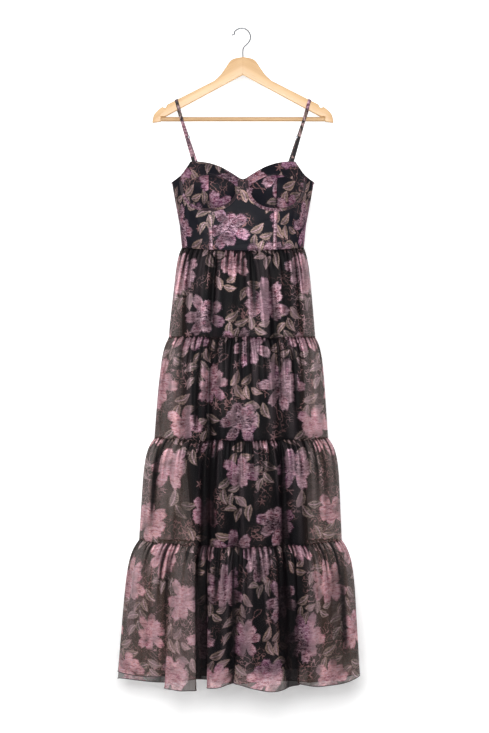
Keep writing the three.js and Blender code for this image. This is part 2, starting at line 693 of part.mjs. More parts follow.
// A rectangular loop, pushed out along its own Z and centred on it.
function loopGeometry(wide, tall, holeWide, holeTall, thick) {
  const rectangle = (Kind, w, h) =>
    new Kind([
      new THREE.Vector2(-w / 2, -h / 2),
      new THREE.Vector2(w / 2, -h / 2),
      new THREE.Vector2(w / 2, h / 2),
      new THREE.Vector2(-w / 2, h / 2),
    ]);
  const shape = rectangle(THREE.Shape, wide, tall);
  shape.holes.push(rectangle(THREE.Path, holeWide, holeTall));
  return new THREE.ExtrudeGeometry(shape, { depth: thick, bevelEnabled: false }).translate(0, 0, -thick / 2);
}

// Hardware on the back strand, turned to lie along it, on both sides.
function addStrandHardware(name, geometry, centre, xAxis, yAxis) {
  for (const [label, flip] of [
    ["right", 1],
    ["left", -1],
  ]) {
    const turned = (v) => place(flip * v.x, v.y, v.z);
    const x = turned(xAxis).multiplyScalar(flip);
    const y = turned(yAxis);
    const mesh = add(`${name}_${label}`, geometry, STEEL);
    mesh.quaternion.setFromRotationMatrix(new THREE.Matrix4().makeBasis(x, y, x.clone().cross(y)));
    mesh.position.copy(turned(centre));
  }
}

const sliderGeometry = loopGeometry(
  SLIDER.wide,
  SLIDER.deep,
  SLIDER.wide - 2 * SLIDER.wall,
  SLIDER.deep - 2 * SLIDER.wall,
  SLIDER.tall,
);
addStrandHardware("strap_slider", sliderGeometry, onBackStrand(SLIDER_Z, 0), backAcross, outOfBack);

const ringGeometry = loopGeometry(
  RING.wide,
  RING.tall,
  RING.wide - 2 * RING.bar,
  RING.tall - 2 * RING.bar,
  RING.thick,
);
const ringReach = (RING.tall - RING.bar) / 2;
const ringCentre = onBackStrand(RING_Z, 0).addScaledVector(downBack, ringReach);
addStrandHardware("strap_ring", ringGeometry, ringCentre, backAcross, downBack.clone().negate());

// The tab loops through the ring's lower bar and is sewn inside the back panel.
function insideBack(x, z, layer) {
  const angle = bodiceAngle(x, z);
  const depth = BODICE_WALL + FACET_SAG + STRAP_THICK / 2 + layer * (STRAP_THICK + SEAM_GAP);
  const inside = bodicePoint(BACK, angle, z).addScaledVector(bodiceNormal(BACK, angle, z), -depth);
  return { place: inside, across: acrossTab };
}

const acrossTab = backAcross.clone().negate();
const tabTurn = ringCentre.clone().addScaledVector(downBack, ringReach);
const tabLoop = LOOP_TURN.map(({ past, out }) => ({
  place: tabTurn.clone().addScaledVector(downBack, -past).addScaledVector(outOfBack, -out * halfSpacing),
  across: acrossTab,
}));
const tabStations = [
  insideBack(tabTurn.x - TAB_LEAN, TAB_SEWN_Z, 1),
  insideBack(tabTurn.x - TAB_LEAN / 2, UNDERARM.z - BACK_DIP, 1),
  ...tabLoop,
  insideBack(tabTurn.x - TAB_LEAN / 2, UNDERARM.z - BACK_DIP, 0),
  insideBack(tabTurn.x - TAB_LEAN, TAB_SEWN_Z, 0),
];
add("strap_tab_right", ribbon(tabStations, STRAP_WIDTH, STRAP_THICK), STRAP_CLOTH);
add("strap_tab_left", ribbon(mirroredStations(tabStations), STRAP_WIDTH, STRAP_THICK), STRAP_CLOTH);

// Zip

const wasm = await Module();
wasm.setup();

function solidOf(geometry) {
  const bare = geometry.index ? geometry.toNonIndexed() : geometry.clone();
  bare.deleteAttribute("normal");
  bare.deleteAttribute("uv");
  const merged = mergeVertices(bare);
  return new wasm.Manifold(
    new wasm.Mesh({
      numProp: 3,
      vertProperties: merged.attributes.position.array,
      triVerts: new Uint32Array(merged.index.array),
    }),
  );
}

function geometryOf(solid) {
  const mesh = solid.getMesh();
  return new THREE.BufferGeometry()
    .setAttribute("position", new THREE.BufferAttribute(mesh.vertProperties, 3))
    .setIndex(new THREE.BufferAttribute(mesh.triVerts, 1));
}

const tapeRows = edgePoints(ROWS.tape, (t) => lerp(ZIP.top, ZIP.bottom, t));
const tapeGrid = (depth) =>
  tapeRows.map((z) =>
    [1, 0, -1].map((sign) => {
      const angle = bodiceAngle(sign * ZIP.half, z);
      return bodicePoint(BACK, angle, z).addScaledVector(bodiceNormal(BACK, angle, z), -depth);
    }),
  );
const tapeDepth = BODICE_WALL + SEAM_GAP;
add("zip_tape", wall(tapeGrid(tapeDepth), tapeGrid(tapeDepth + ZIP.thick)), ZIP_TAPE_CLOTH);

const zipFaceY = tableAt(BODICE, "back", ZIP_SLIDER.z) + 2 * SEAM_GAP;
const sliderBody = new THREE.BoxGeometry(ZIP_SLIDER.wide, ZIP_SLIDER.thick, ZIP_SLIDER.tall).translate(
  0,
  zipFaceY + ZIP_SLIDER.thick / 2,
  ZIP_SLIDER.z,
);
const bridgeShape = new THREE.Shape().absarc(0, 0, ZIP_BRIDGE.outer, 0, 2 * Math.PI, false);
bridgeShape.holes.push(new THREE.Path().absarc(0, 0, ZIP_BRIDGE.inner, 0, 2 * Math.PI, true));
const bridgeY = zipFaceY + ZIP_SLIDER.thick + ZIP_BRIDGE.inner;
const bridge = new THREE.ExtrudeGeometry(bridgeShape, {
  depth: ZIP_BRIDGE.wide,
  bevelEnabled: false,
  curveSegments: 8,
})
  .translate(0, 0, -ZIP_BRIDGE.wide / 2)
  .rotateY(Math.PI / 2)
  .translate(0, bridgeY, ZIP_SLIDER.z);
add("zip_slider", geometryOf(solidOf(sliderBody).add(solidOf(bridge))), STEEL);

// The pull tab hangs by its top bar inside the bridge.
const pullHalf = PULL.wide / 2;
const pullTop = PULL.bar / 2;
const pullFoot = pullTop - PULL.length + pullHalf - PULL.taper;
const pullShape = new THREE.Shape()
  .moveTo(-pullHalf + PULL.corner, pullTop)
  .lineTo(-pullHalf, pullTop - PULL.corner)
  .absarc(0, pullFoot, pullHalf - PULL.taper, Math.PI, 2 * Math.PI, false)
  .lineTo(pullHalf, pullTop - PULL.corner)
  .lineTo(pullHalf - PULL.corner, pullTop);
const eyeHalf = PULL.eye / 2;
const eye = new THREE.Path()
  .moveTo(-eyeHalf, -pullTop)
  .lineTo(-eyeHalf, -pullTop - PULL.eye)
  .lineTo(eyeHalf, -pullTop - PULL.eye)
  .lineTo(eyeHalf, -pullTop);
pullShape.holes.push(eye);
const pullGeometry = new THREE.ExtrudeGeometry(pullShape, {
  depth: PULL.thick,
  bevelEnabled: false,
  curveSegments: 6,
})
  .translate(0, 0, -PULL.thick / 2)
  .rotateX(Math.PI / 2);
add("zip_pull", pullGeometry, STEEL).position.set(0, bridgeY, ZIP_SLIDER.z);

// Hanger

function hangerOutline() {
  const barTop = BAR_Z + BAR_DIAMETER / 2 + SEAM_GAP;
  const underX = (UNDER_APEX_Z - barTop) / UNDER_SLOPE;
  const seatX = BAR_HALF + SEAM_GAP;
  const half = [];
  const to = (x, z) => half.push(new THREE.Vector2(x, z));
  const curve = (rows, count) => {
    const points = rows.map(({ x, z }) => new THREE.Vector2(x, z));
    half.push(...new THREE.SplineCurve(points).getPoints(count));
  };
  curve(HEAD_CURVE, HEAD_FACETS);
  to(NOTCH.x - NOTCH.half, armTopZ(NOTCH.x - NOTCH.half));
  to(NOTCH.x - NOTCH.floor, armTopZ(NOTCH.x) - NOTCH.depth);
  to(NOTCH.x + NOTCH.floor, armTopZ(NOTCH.x) - NOTCH.depth);
  curve(TIP_CURVE, TIP_FACETS);
  to(seatX, BAR_Z - BAR_DIAMETER / 2 - SEAM_GAP);
  to(seatX, barTop);
  to(underX, barTop);
  to(0, UNDER_APEX_Z);
  const left = half.slice(1, -1).reverse();
  return new THREE.Shape([...half, ...left.map((p) => new THREE.Vector2(-p.x, p.y))]);
}

const hangerGeometry = new THREE.ExtrudeGeometry(hangerOutline(), {
  depth: HANGER_THICK - 2 * HANGER_BEVEL,
  bevelThickness: HANGER_BEVEL,
  bevelSize: HANGER_BEVEL,
  bevelOffset: -HANGER_BEVEL,
  bevelSegments: 1,
})
  .translate(0, 0, HANGER_BEVEL - HANGER_THICK / 2)
  .rotateX(Math.PI / 2);
add("hanger_body", hangerGeometry, WOOD);

const barGeometry = new THREE.CylinderGeometry(BAR_DIAMETER / 2, BAR_DIAMETER / 2, 2 * BAR_HALF, BAR_FACETS);
const bar = add("hanger_bar", barGeometry, WOOD);
bar.rotation.z = Math.PI / 2;
bar.position.z = BAR_Z;

// The hook turns round from its tip over the rail and down to the hanger's head.
const hookCentreZ = HOOK_WIRE / 2 - HOOK_RADIUS;
const onHook = (degrees) => {
  const turn = THREE.MathUtils.degToRad(degrees);
  const [along, up] = [HOOK_RADIUS * Math.cos(turn), HOOK_RADIUS * Math.sin(turn)];
  return place(HOOK_CENTRE_X + along, 0, hookCentreZ + up);
};
const hookCurve = new THREE.CatmullRomCurve3([
  place(HOOK_TIP.x, 0, HOOK_TIP.z),
  place(HOOK_TIP.x + HOOK_CURL.x, 0, HOOK_TIP.z + HOOK_CURL.z),
  ...HOOK_BEND.map(onHook),
  ...HOOK_SHANK.map(({ x, below }) => place(x, 0, hookCentreZ - below)),
  place(0, 0, HANGER_TOP_Z + SEAM_GAP),
]);
const wireSection = new THREE.Shape().absarc(0, 0, HOOK_WIRE / 2, 0, 2 * Math.PI, false);
const hookGeometry = new THREE.ExtrudeGeometry(wireSection, {
  steps: HOOK_STEPS,
  extrudePath: hookCurve,
  curveSegments: 5,
});
add("hanger_hook", hookGeometry, STEEL);

export default dress;
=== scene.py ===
"""A strappy maxi dress of floral organza on a wooden hanger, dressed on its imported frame."""

import math

import bmesh
import bpy
import numpy as np
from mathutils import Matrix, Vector


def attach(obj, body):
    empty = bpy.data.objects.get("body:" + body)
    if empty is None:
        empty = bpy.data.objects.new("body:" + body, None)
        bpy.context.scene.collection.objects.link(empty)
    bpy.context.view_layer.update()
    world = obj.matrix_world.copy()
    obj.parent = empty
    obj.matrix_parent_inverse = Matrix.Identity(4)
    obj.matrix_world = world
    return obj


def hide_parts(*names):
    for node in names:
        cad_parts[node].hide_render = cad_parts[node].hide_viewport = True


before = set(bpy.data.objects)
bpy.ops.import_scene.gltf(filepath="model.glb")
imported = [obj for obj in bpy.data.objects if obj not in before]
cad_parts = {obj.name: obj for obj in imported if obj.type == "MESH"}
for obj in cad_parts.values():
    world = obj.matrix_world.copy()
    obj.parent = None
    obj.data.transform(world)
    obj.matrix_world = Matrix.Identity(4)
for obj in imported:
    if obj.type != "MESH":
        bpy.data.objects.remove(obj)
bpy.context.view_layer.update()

# Cutting sizes are in millimetres, and every mesh is scaled to metres when it is made.
MM = 0.001
FRONT = -1
BACK = 1
BODY = "dress"
PULL_BODY = "zip_pull"
MIRROR = np.array([-1, 1, 1])

# Picture and camera: the photograph's frame at the hanger's plane.
PICTURE_TALL = 733
MM_PER_PIXEL = 2.45
CAMERA_DISTANCE = 4.0
CAMERA_X = 0.0039
CAMERA_Z = -0.827
SENSOR = 36.0

# Floor, wall and lamps.
FLOOR_Z = -1.79
FLOOR_RADIUS = 1.7
FLOOR_CLEAR_RADIUS = 0.35
FLOOR_FADED_RADIUS = 0.9 * FLOOR_RADIUS
FLOOR_SIDES = 64
FLOOR_SHADE = 0.92
FLOOR_ROUGHNESS = 0.8
WALL_Y = 0.15
WALL_HALF = 1.6
WALL_FADE = (0.5 * WALL_HALF, 0.95 * WALL_HALF)
WALL_SHADE = 0.95
WALL_ROUGHNESS = 0.9
WALL_GLOW = (0.12, 0.5)
WALL_GLOW_Z = (-1.56, -1.3)
WORLD_LIGHT = 0.17
LAMPS = [
    # name, place, aim, size, watts
    ("key_lamp", (-0.1, -2.9, -0.3), (0.0, 0.0, -1.05), 1.0, 80.0),
    ("rake_lamp", (-2.3, -1.7, 0.2), (0.0, 0.0, -0.9), 1.0, 12.0),
    ("fill_lamp", (1.9, -2.4, -0.2), (0.0, 0.0, -0.9), 1.4, 7.0),
    ("back_lamp", (0.5, 2.6, 0.4), (0.0, 0.0, -0.8), 2.0, 45.0),
]

# Skirt seams from the waist down: z, rise at the sides, sideways drift, half width, front and back depth.
SEAMS = [
    (-546, 10, 0, 149.5, 38, 30),
    (-758, 2, -2, 179.5, 49, 41),
    (-1007, 4, -4, 213, 56, 48),
    (-1264, 12, -6, 248.5, 62, 54),
    (-1607, 20, -10, 296.5, 68, 60),
]
WAIST_Z = SEAMS[0][0]
HEM_Z = SEAMS[-1][0]
WAIST_HALF = SEAMS[0][3]
WAIST_LIFT = SEAMS[0][1]

# Each tier: swell below its gathers, length of that swell, columns and rows of the front and of the back.
TIERS = [
    (10, 28, 250, 92, 170, 64),
    (15, 28, 280, 106, 190, 72),
    (22, 28, 310, 110, 210, 76),
    (26, 35, 350, 140, 240, 96),
]
DEPTH_PUFF_SHARE = 0.45
ELLIPSE_STEPS = 360
HALF_GAP = 0.15
SIDE_CALM = 0.12
EVEN_ROWS = 0.7
CROWDED_ROWS = 0.3
TUCK = 3.0
TUCK_INSET = 1.4
SEAM_PULL = 1.6
SEAM_PULL_LENGTH = 5.0
SEAM_WAVE = 1.3
LONG_WAVES = 9
SHORT_WAVES = 23
SHORT_WAVE_SHARE = 0.6

# Large folds from the waist to the hem: place across at both ends, width, height at the hem.
FRONT_FOLDS = [
    (-0.86, -0.80, 0.10, 5),
    (-0.74, -0.64, 0.07, -8),
    (-0.58, -0.47, 0.09, 8),
    (-0.44, -0.30, 0.060, -18),
    (-0.24, -0.19, 0.07, 7),
    (-0.05, -0.05, 0.06, -8),
    (0.20, 0.21, 0.13, 9),
    (0.45, 0.44, 0.060, -18),
    (0.66, 0.62, 0.10, 8),
    (0.82, 0.78, 0.08, -7),
]
BACK_FOLDS = [
    (-0.74, -0.66, 0.09, -9),
    (-0.52, -0.46, 0.12, 8),
    (-0.36, -0.27, 0.055, -16),
    (-0.05, 0.02, 0.13, 8),
    (0.27, 0.25, 0.055, -16),
    (0.46, 0.42, 0.12, 8),
    (0.66, 0.62, 0.09, -9),
]
FOLD_GROWTH = 0.6

# Scallops of the hem between its folds: from and to across, drop at the left, in the middle, at the right.
FRONT_SCALLOPS = [
    (-1.00, -0.60, -14, -17, -21),
    (-0.60, -0.33, 3, 6, 1),
    (-0.33, -0.27, -22, -22, -22),
    (-0.27, -0.03, -10, -8, -22),
    (-0.03, 0.48, -20, 3, -8),
    (0.48, 1.00, -14, 5, -4),
]
BACK_SCALLOPS = [
    (-1.00, -0.30, 4, 10, -4),
    (-0.30, -0.24, -14, -14, -14),
    (-0.24, 0.22, -2, 10, -4),
    (0.22, 0.28, -14, -14, -14),
    (0.28, 1.00, -2, 9, -7),
]
SCALLOP_GROWTH = 3

# Flaps where the cloth folds back under itself; the side on top points to the right (1) or the left (-1).
FRONT_FLAPS = [
    # z where it starts, across at the start, across at the hem, side on top, overlap, depth, width
    (-640, -0.49, -0.350, 1, 10, 10, 0.028),
    (-640, -0.39, -0.250, -1, 10, 10, 0.028),
    (-700, 0.51, 0.490, 1, 11, 10, 0.028),
    (-1290, -0.63, -0.600, -1, 12, 10, 0.030),
    (-1290, -0.04, -0.035, -1, 9, 8, 0.028),
]
BACK_FLAPS = [
    (-640, -0.41, -0.320, 1, 10, 10, 0.028),
    (-640, -0.31, -0.220, -1, 10, 10, 0.028),
    (-640, 0.22, 0.200, 1, 10, 10, 0.028),
    (-640, 0.32, 0.300, -1, 10, 10, 0.028),
    (-1290, 0.60, 0.580, 1, 12, 10, 0.030),
]
FLAP_GROWTH = 3.0

# Shorter creases of each tier: share across, start and end down the tier, drift, width, height.
TIER_CREASES = [
    [
        (0.16, 0.02, 0.80, -0.03, 0.022, 2.4),
        (0.30, 0.00, 0.95, 0.01, 0.018, -2.8),
        (0.45, 0.05, 0.60, 0.02, 0.020, 2.0),
        (0.58, 0.00, 0.90, -0.01, 0.024, -2.2),
        (0.71, 0.00, 0.75, 0.03, 0.018, 2.6),
        (0.86, 0.04, 0.90, 0.02, 0.022, -2.4),
    ],
    [
        (0.11, 0.00, 0.85, -0.02, 0.020, 3.0),
        (0.24, 0.00, 1.00, 0.01, 0.016, -3.4),
        (0.33, 0.10, 0.90, 0.02, 0.020, 3.2),
        (0.52, 0.00, 0.65, -0.02, 0.022, -2.4),
        (0.66, 0.00, 0.95, 0.02, 0.018, 3.0),
        (0.79, 0.00, 0.80, 0.01, 0.016, -3.2),
        (0.91, 0.05, 0.95, 0.01, 0.018, 2.6),
    ],
    [
        (0.09, 0.00, 0.90, -0.02, 0.018, -3.2),
        (0.19, 0.00, 0.80, -0.01, 0.020, 3.6),
        (0.37, 0.00, 1.00, 0.01, 0.016, -3.4),
        (0.49, 0.05, 0.75, 0.02, 0.022, 3.0),
        (0.61, 0.00, 0.95, -0.02, 0.018, -3.0),
        (0.74, 0.00, 0.85, 0.02, 0.018, 3.4),
        (0.88, 0.00, 1.00, 0.02, 0.016, -3.0),
    ],
    [
        (0.07, 0.00, 0.95, -0.02, 0.018, 3.4),
        (0.17, 0.00, 0.70, -0.02, 0.016, -3.6),
        (0.28, 0.05, 1.05, 0.01, 0.018, 4.0),
        (0.41, 0.00, 0.85, 0.02, 0.018, -3.2),
        (0.54, 0.00, 1.05, -0.01, 0.018, 3.6),
        (0.65, 0.08, 0.90, 0.02, 0.016, -3.8),
        (0.78, 0.00, 1.05, 0.02, 0.018, 3.8),
        (0.92, 0.00, 0.90, 0.01, 0.016, -3.2),
    ],
]
CREASE_START = 0.12
CREASE_END = 0.25
BACK_CREASE_SHARE = 0.93

# Fine gathers under every seam.
GATHER_SPACING = 9.0
FEWEST_GATHERS = 4
GATHER_SHIFT = 0.36
GATHER_DRIFT = 0.004
GATHER_HEIGHT = 5.2
GATHER_HEIGHTS = (0.5, 1.0)
GATHER_WIDTH = 0.33
GATHER_WIDTHS = (0.75, 1.35)
GATHER_FADE = 1.4
GATHER_AT_SEAM = 0.45
GATHER_RISE = 9.0
GATHER_WIDEN = 160.0
GATHER_REACH = (40.0, 230.0)
GATHER_SEED = 11

# How deep a gather, a crease or a fold is when it is fully hollow or fully raised, for the painted shade in
# its hollows and the painted highlight on its ridges, and the painted shade along the seams.
TONE_GATHER = 1.5
TONE_CREASE = 3.2
TONE_FOLD = 9.0
MEAN_GATHER = 0.64
SEAM_SHADE = 0.8
SEAM_SHADE_LENGTH = 3.0
LINED_EDGE = 52.0
# How much warmer and paler the print is painted where no lining lies behind it: painted light shining through
# the sheer cloth.
BACKLIT_WARMTH = 0.9

# The lining slip: z, sideways drift, half width, front and back depth.
LINING = [
    (-547, 0, 147, 35.5, 27.5),
    (-640, 0, 148, 33, 27),
    (-800, 0, 150, 33, 28),
    (-1000, 3, 150, 35, 30),
    (-1200, 16, 143, 38, 33),
    (-1400, 27, 137, 40, 35),
    (-1563, 30, 134, 42, 37),
]
LINING_COLUMNS = 72
LINING_ROWS = 60
LINING_RIPPLES = 4
LINING_RIPPLE = 1.6
LINING_WALL = 0.8
LINING_LIFT_FADE = 6

# Bodice without its cups: z, half width, front and back depth.
BODICE = [
    (-331, 182, 41, 32),
    (-378, 175, 43, 33),
    (-424, 166.6, 43.5, 33),
    (-483, 155.6, 41, 31.5),
    (-546, 149.5, 38, 30),
]
BODICE_WALL = 1.8
CUP_WALL = 2.6
UNDERARM_X = 175
UNDERARM_Z = -378
BACK_DIP = 6

# Sweetheart neckline and armhole edge of the right half, as x and z.
NECKLINE = [
    (0, -374),
    (9, -371),
    (19, -365),
    (36, -355),
    (53, -345.5),
    (67, -340),
    (81, -335.7),
    (98, -332.5),
    (113, -331),
    (127, -331),
]
ARMHOLE = [
    (127, -331),
    (130, -336),
    (137, -345.5),
    (144, -355),
    (152, -363),
    (163, -371),
    (175, -378),
]
CUP_ENDS_AT = 4

# Cups, their wire and their seams.
CUP_X = 80
WIRE_HALF = 71
WIRE_TOP_Z = -374
WIRE_DROP = 73
WIRE_ROUNDNESS = 2.3
CUP_SWELL = 34
CUP_EDGE = 0.8
CUP_FULLEST_Z = -398
CUP_TOP_Z = -331
CUP_TOP_SHARE = 0.42
ARCH_X = 83
ARCH_Z = -364
ARCH_TURN = 0.24
PRINCESS_WAIST_X = 77
UNDER_WIRE_END_X = 137
GROOVE_DEPTH = 1.0
GROOVE_WIDTH = 2.6

# Columns and rows of the bodice panels.
WIRE_STEPS = 44
UNDERARM_STEPS = 14
CENTRE_ROWS = 70
SIDE_ROWS = 76
CUP_COLUMNS = 72
CUP_ROWS = 26
LOWER_COLUMNS = 40
LOWER_ROWS = 40
BACK_COLUMNS = 84
BACK_ROWS = 72

# Edges of a panel that are sewn: left, right, upper, lower.
SEWN_ALL_BUT_TOP = (True, True, False, True)
SEWN_ALL_ROUND = (True, True, True, True)
SEWN_BELOW = (False, False, False, True)

# Casings sewn over the seams: half width, edge height, crown.
WIRE_CASING = (3.4, 0.5, 1.7)
BONE_CASING = (4.6, 0.5, 1.1)
BONE_TOP_Z = -449
CASING_LIFTS = (0.4, 0.5, 0.9)
CASING_ACROSS = 9
CASING_ROUNDNESS = 2.4
CASING_SUNK = 1.2
WIRE_CASING_STEPS = 90
WIRE_END_TURN = 0.02
SMALL_TURN = 0.01
BONE_CASING_STEPS = 40

# Soft creases pressed into the bodice: two ends as x and z, width and height.
BODICE_CREASES = [
    (-60, -470, -20, -455, 5, -0.9),
    (-52, -505, 8, -520, 6, 0.9),
    (20, -486, 62, -474, 5, -0.8),
    (-118, -455, -96, -500, 6, 1.2),
    (-138, -420, -128, -470, 5, -1.2),
    (104, -470, 128, -500, 6, 1.1),
    (134, -425, 122, -468, 5, -1.2),
    (-30, -535, 40, -528, 4, -0.7),
    (96, -520, 140, -528, 5, -0.8),
    (-140, -515, -92, -530, 5, 0.8),
    (-112, -352, -90, -362, 5, -0.9),
    (70, -352, 104, -349, 5, 0.7),
]

# Straps over the hanger's arms.
STRAP_WIDTH = 8.0
STRAP_THICK = 1.1
STRAP_X_ON_HANGER = 163
STRAP_X_ON_CUP = 121.5
STRAP_X_ON_RING = 101
STRAP_SEWN_DEPTH = 9
STRAP_CORNER = 1.5
STRAP_ON_ARM = 9
STRANDS_SPREAD = 40
RING_INSET = 5
RING_PROUD = 1
RING_Z = -366
SLIDER_Z = -264
STRAND_SPACING = 4
STRAP_STEP = 2.5
RIBBON_ACROSS = 7
RIBBON_CROWN = 0.35
RING_TALL = 9
RING_BAR = 1.7
SLIDER_TALL = 7
TAB_SEWN_Z = -396
TAB_LEAN = 4
FACET_SAG = 1.7
SEAM_GAP = 0.3
STRAP_LIFT = 1.5 * SEAM_GAP + STRAP_THICK / 2
TURN_ROUND_BAR = [
    # reach past the bar, share of half the strands' spacing
    (0, 1),
    (1.5, 0.75),
    (2.3, 0),
    (1.5, -0.75),
    (0, -1),
]

# Zip in the centre-back seam.
ZIP_TOP_Z = -385
ZIP_BOTTOM_Z = -542
ZIP_HALF = 11
ZIP_THICK = 1.0
ZIP_ROWS = 60
ZIP_COLUMNS = 9

# Metal pieces that keep their solid's shape with its edges rounded off.
METAL_PIECES = [
    # solid, rounding, steps of the rounding, body
    ("strap_ring_left", 0.55, 3, BODY),
    ("strap_slider_left", 0.5, 3, BODY),
    ("strap_ring_right", 0.55, 3, BODY),
    ("strap_slider_right", 0.5, 3, BODY),
    ("zip_slider", 0.3, 2, BODY),
    ("zip_pull", 0.28, 2, PULL_BODY),
]
METAL_EDGE_DEGREES = 35
MERGE_DISTANCE = 1e-6
FLAT_DEGREES = 2

# Hanger.
HANGER_THICK = 12.0
ARM_SLOPE = 0.507
ARM_START_X = 70
ARM_START_Z = -127.5
UNDER_APEX_Z = -112.7
UNDER_SLOPE = 0.54
HEAD_CURVE = [(0, -69), (27, -76), (44, -98), (55, -113.5), (70, -127.5)]
TIP_CURVE = [(197, -190.9), (209.5, -201), (218, -212), (222, -230.5)]
NOTCH_X = 191
NOTCH_HALF = 6
NOTCH_FLOOR = 2
NOTCH_DEPTH = 5
BAR_DIAMETER = 11.0
BAR_Z = -221.2
BAR_HALF = 200.0
HANGER_ROUND = 2.6
HANGER_ROUND_STEPS = 4
HANGER_EDGE_DEGREES = 50
HANGER_SHARP_DEGREES = 40
HEAD_STEPS = 8
TIP_STEPS = 6
BAR_STEPS = 30

# Hook.
HOOK_WIRE = 3.6
HOOK_RADIUS = 21.5
HOOK_CENTRE_X = -3
HOOK_TIP = (-27.5, -15)
HOOK_CURL = (-21.5, -13)
HOOK_BEND = [140, 110, 80, 50, 20, -10, -38]
HOOK_SHANK = [(2.5, 25), (0, 33)]
HOOK_FOOT_Z = -68.7
HOOK_STEPS = 10

# Sewing: stitch pitch, length and thickness, and the rolled edges.
STITCH_PITCH = 3.2
STITCH_LENGTH = 2.2
STITCH_RADIUS = 0.24
STITCH_SIDES = 6
CORD_SIDES = 10
HEM_RADIUS = 1.0
NECK_EDGE_RADIUS = 1.1
NECK_STEPS = 120
TOOTH_PITCH = 1.3
TOOTH_LENGTH = 1.1
TOOTH_RADIUS = 0.35
TOOTH_LIFT = 0.5
TOOTH_OFFSET = np.array([1.0, 0, 0])

# Stitches beside a seam or inside a casing's edge: inset, and lift above the cloth.
ARCH_STITCH = (2.0, -0.4)
ARCH_STITCH_ENDS = 4
WIRE_STITCH = (0.5, 0.55)
BONE_STITCH = (0.6, 0.35)
WAIST_STITCH = (2.4, -0.15)
WAIST_STITCH_END = 2
WAIST_STITCH_STEPS = 160

# One repeat of the print, in millimetres of flat cloth, drawn for this dress.
REPEAT_WIDE = 340.0
REPEAT_TALL = 420.0
FLOWERS = [
    # x, y, radius, petals, turn, warmth
    (58, 66, 53, 8, 10, 0.1),
    (206, 44, 40, 7, 40, 0.5),
    (292, 140, 54, 9, 20, 0.2),
    (134, 170, 47, 7, 75, 0.0),
    (30, 262, 43, 8, 0, 0.4),
    (216, 262, 56, 9, 50, 0.1),
    (110, 350, 51, 8, 30, 0.0),
    (300, 362, 43, 7, 15, 0.3),
]
SPRAYS = [
    # x, y, direction, leaves, leaf length, warmth
    (114, 28, -20, 3, 48, 0.2),
    (242, 90, 60, 4, 44, 0.8),
    (96, 118, 150, 4, 42, 0.0),
    (186, 180, 20, 5, 42, 0.5),
    (334, 206, 95, 4, 46, 0.1),
    (80, 266, -10, 5, 44, 0.9),
    (162, 306, 120, 4, 44, 0.3),
    (272, 306, 30, 4, 46, 0.7),
    (246, 398, 10, 5, 42, 0.0),
    (12, 150, 100, 4, 44, 0.6),
    (18, 334, 80, 4, 44, 0.2),
    (330, 16, 150, 4, 42, 0.4),
    (176, 108, -60, 3, 38, 0.9),
    (250, 206, -40, 3, 38, 0.3),
]
STARS = [
    # x, y, radius, points, turn
    (154, 88, 11, 5, 10),
    (18, 12, 10, 5, 50),
    (92, 216, 11, 6, 15),
    (302, 262, 11, 6, 0),
    (190, 390, 11, 5, 5),
]
BUDS = [
    # x, y, direction, length
    (150, 250, 60, 34),
    (250, 16, -30, 30),
    (70, 190, 140, 32),
    (330, 300, 10, 34),
    (20, 200, -70, 30),
    (170, 60, 100, 32),
    (60, 396, 20, 34),
    (210, 350, -110, 30),
    (334, 80, 40, 28),
]
PETAL_SEAT = 0.58
PETAL_REACH = 0.44
PETAL_BREADTH = 0.8
PETAL_NOTCH = 0.18
PETAL_FRILL = 0.12
PETAL_UNEVENNESS = 0.2
PETAL_TONES = 0.26
PETAL_GAP = 0.3
PETAL_SWAY = 9
PETAL_FOOT = 0.5
PETAL_WIDENING = 0.55
PETAL_WIDEST = 1.1
PETAL_TIP = 0.7
PETAL_TIP_LENGTH = 0.3
PETAL_FRILLS = 7
PETAL_NOTCH_NARROWNESS = 4
LENGTH_PHASE = 2.3
SWAY_PHASE = 1.7
TONE_PHASE = 4.1
INNER_RING = 0.56
INNER_DEEPER = 0.22
CORE_SHARE = 0.16
WARMTH_REACH = 1.2
EVEN_WARMTH = 0.5
LEAF_SHARE = 0.46
LEAF_BEND = 0.12
LEAF_FULLNESS = 0.8
LEAF_SPLAY = 56
LEAF_SHRINK = 0.06
LEAF_SPACING = 0.3
VEIN_SLANT = 0.9
SPRAY_BEND = 9
STAR_MIDDLE = 0.14
STAR_SHARPNESS = 3
STAR_SOFTNESS = 0.6
OUTLINE_HALF = 0.8
STAMEN_REACH = 0.45
STAMEN_SPLAY = 24
FAR_OUTSIDE = -60.0
PRINT_FIELDS = (
    "bloom",
    "petal_edge",
    "petal_along",
    "petal_beside",
    "leaf",
    "leaf_beside",
    "leaf_vein",
    "sprig",
)

# Where each piece was laid on the print before cutting.
PRINT_SHIFTS = {
    "tier_1_front": (30, 12),
    "tier_2_front": (210, 150),
    "tier_3_front": (20, 285),
    "tier_4_front": (260, 40),
    "tier_1_back_left": (120, 250),
    "tier_1_back_right": (10, 330),
    "tier_2_back": (70, 20),
    "tier_3_back": (240, 210),
    "tier_4_back": (150, 110),
    "bodice_centre_front": (168, 98),
    "bodice_side_front_left": (80, 190),
    "bodice_side_front_right": (8, 202),
    "bodice_back_left": (20, 300),
    "bodice_back_right": (200, 90),
    "cup_upper_left": (150, 220),
    "cup_upper_right": (0, 290),
    "cup_lower_inner_left": (130, 40),
    "cup_lower_inner_right": (310, 120),
    "cup_lower_outer_left": (10, 190),
    "cup_lower_outer_right": (170, 330),
    "wire_casing_left": (165, 0),
    "wire_casing_right": (292, 60),
    "bone_casing_left": (214, 190),
    "bone_casing_right": (290, 90),
    "strap_left": (60, 0),
    "strap_right": (214, 80),
    "strap_tab_left": (96, 300),
    "strap_tab_right": (140, 130),
}

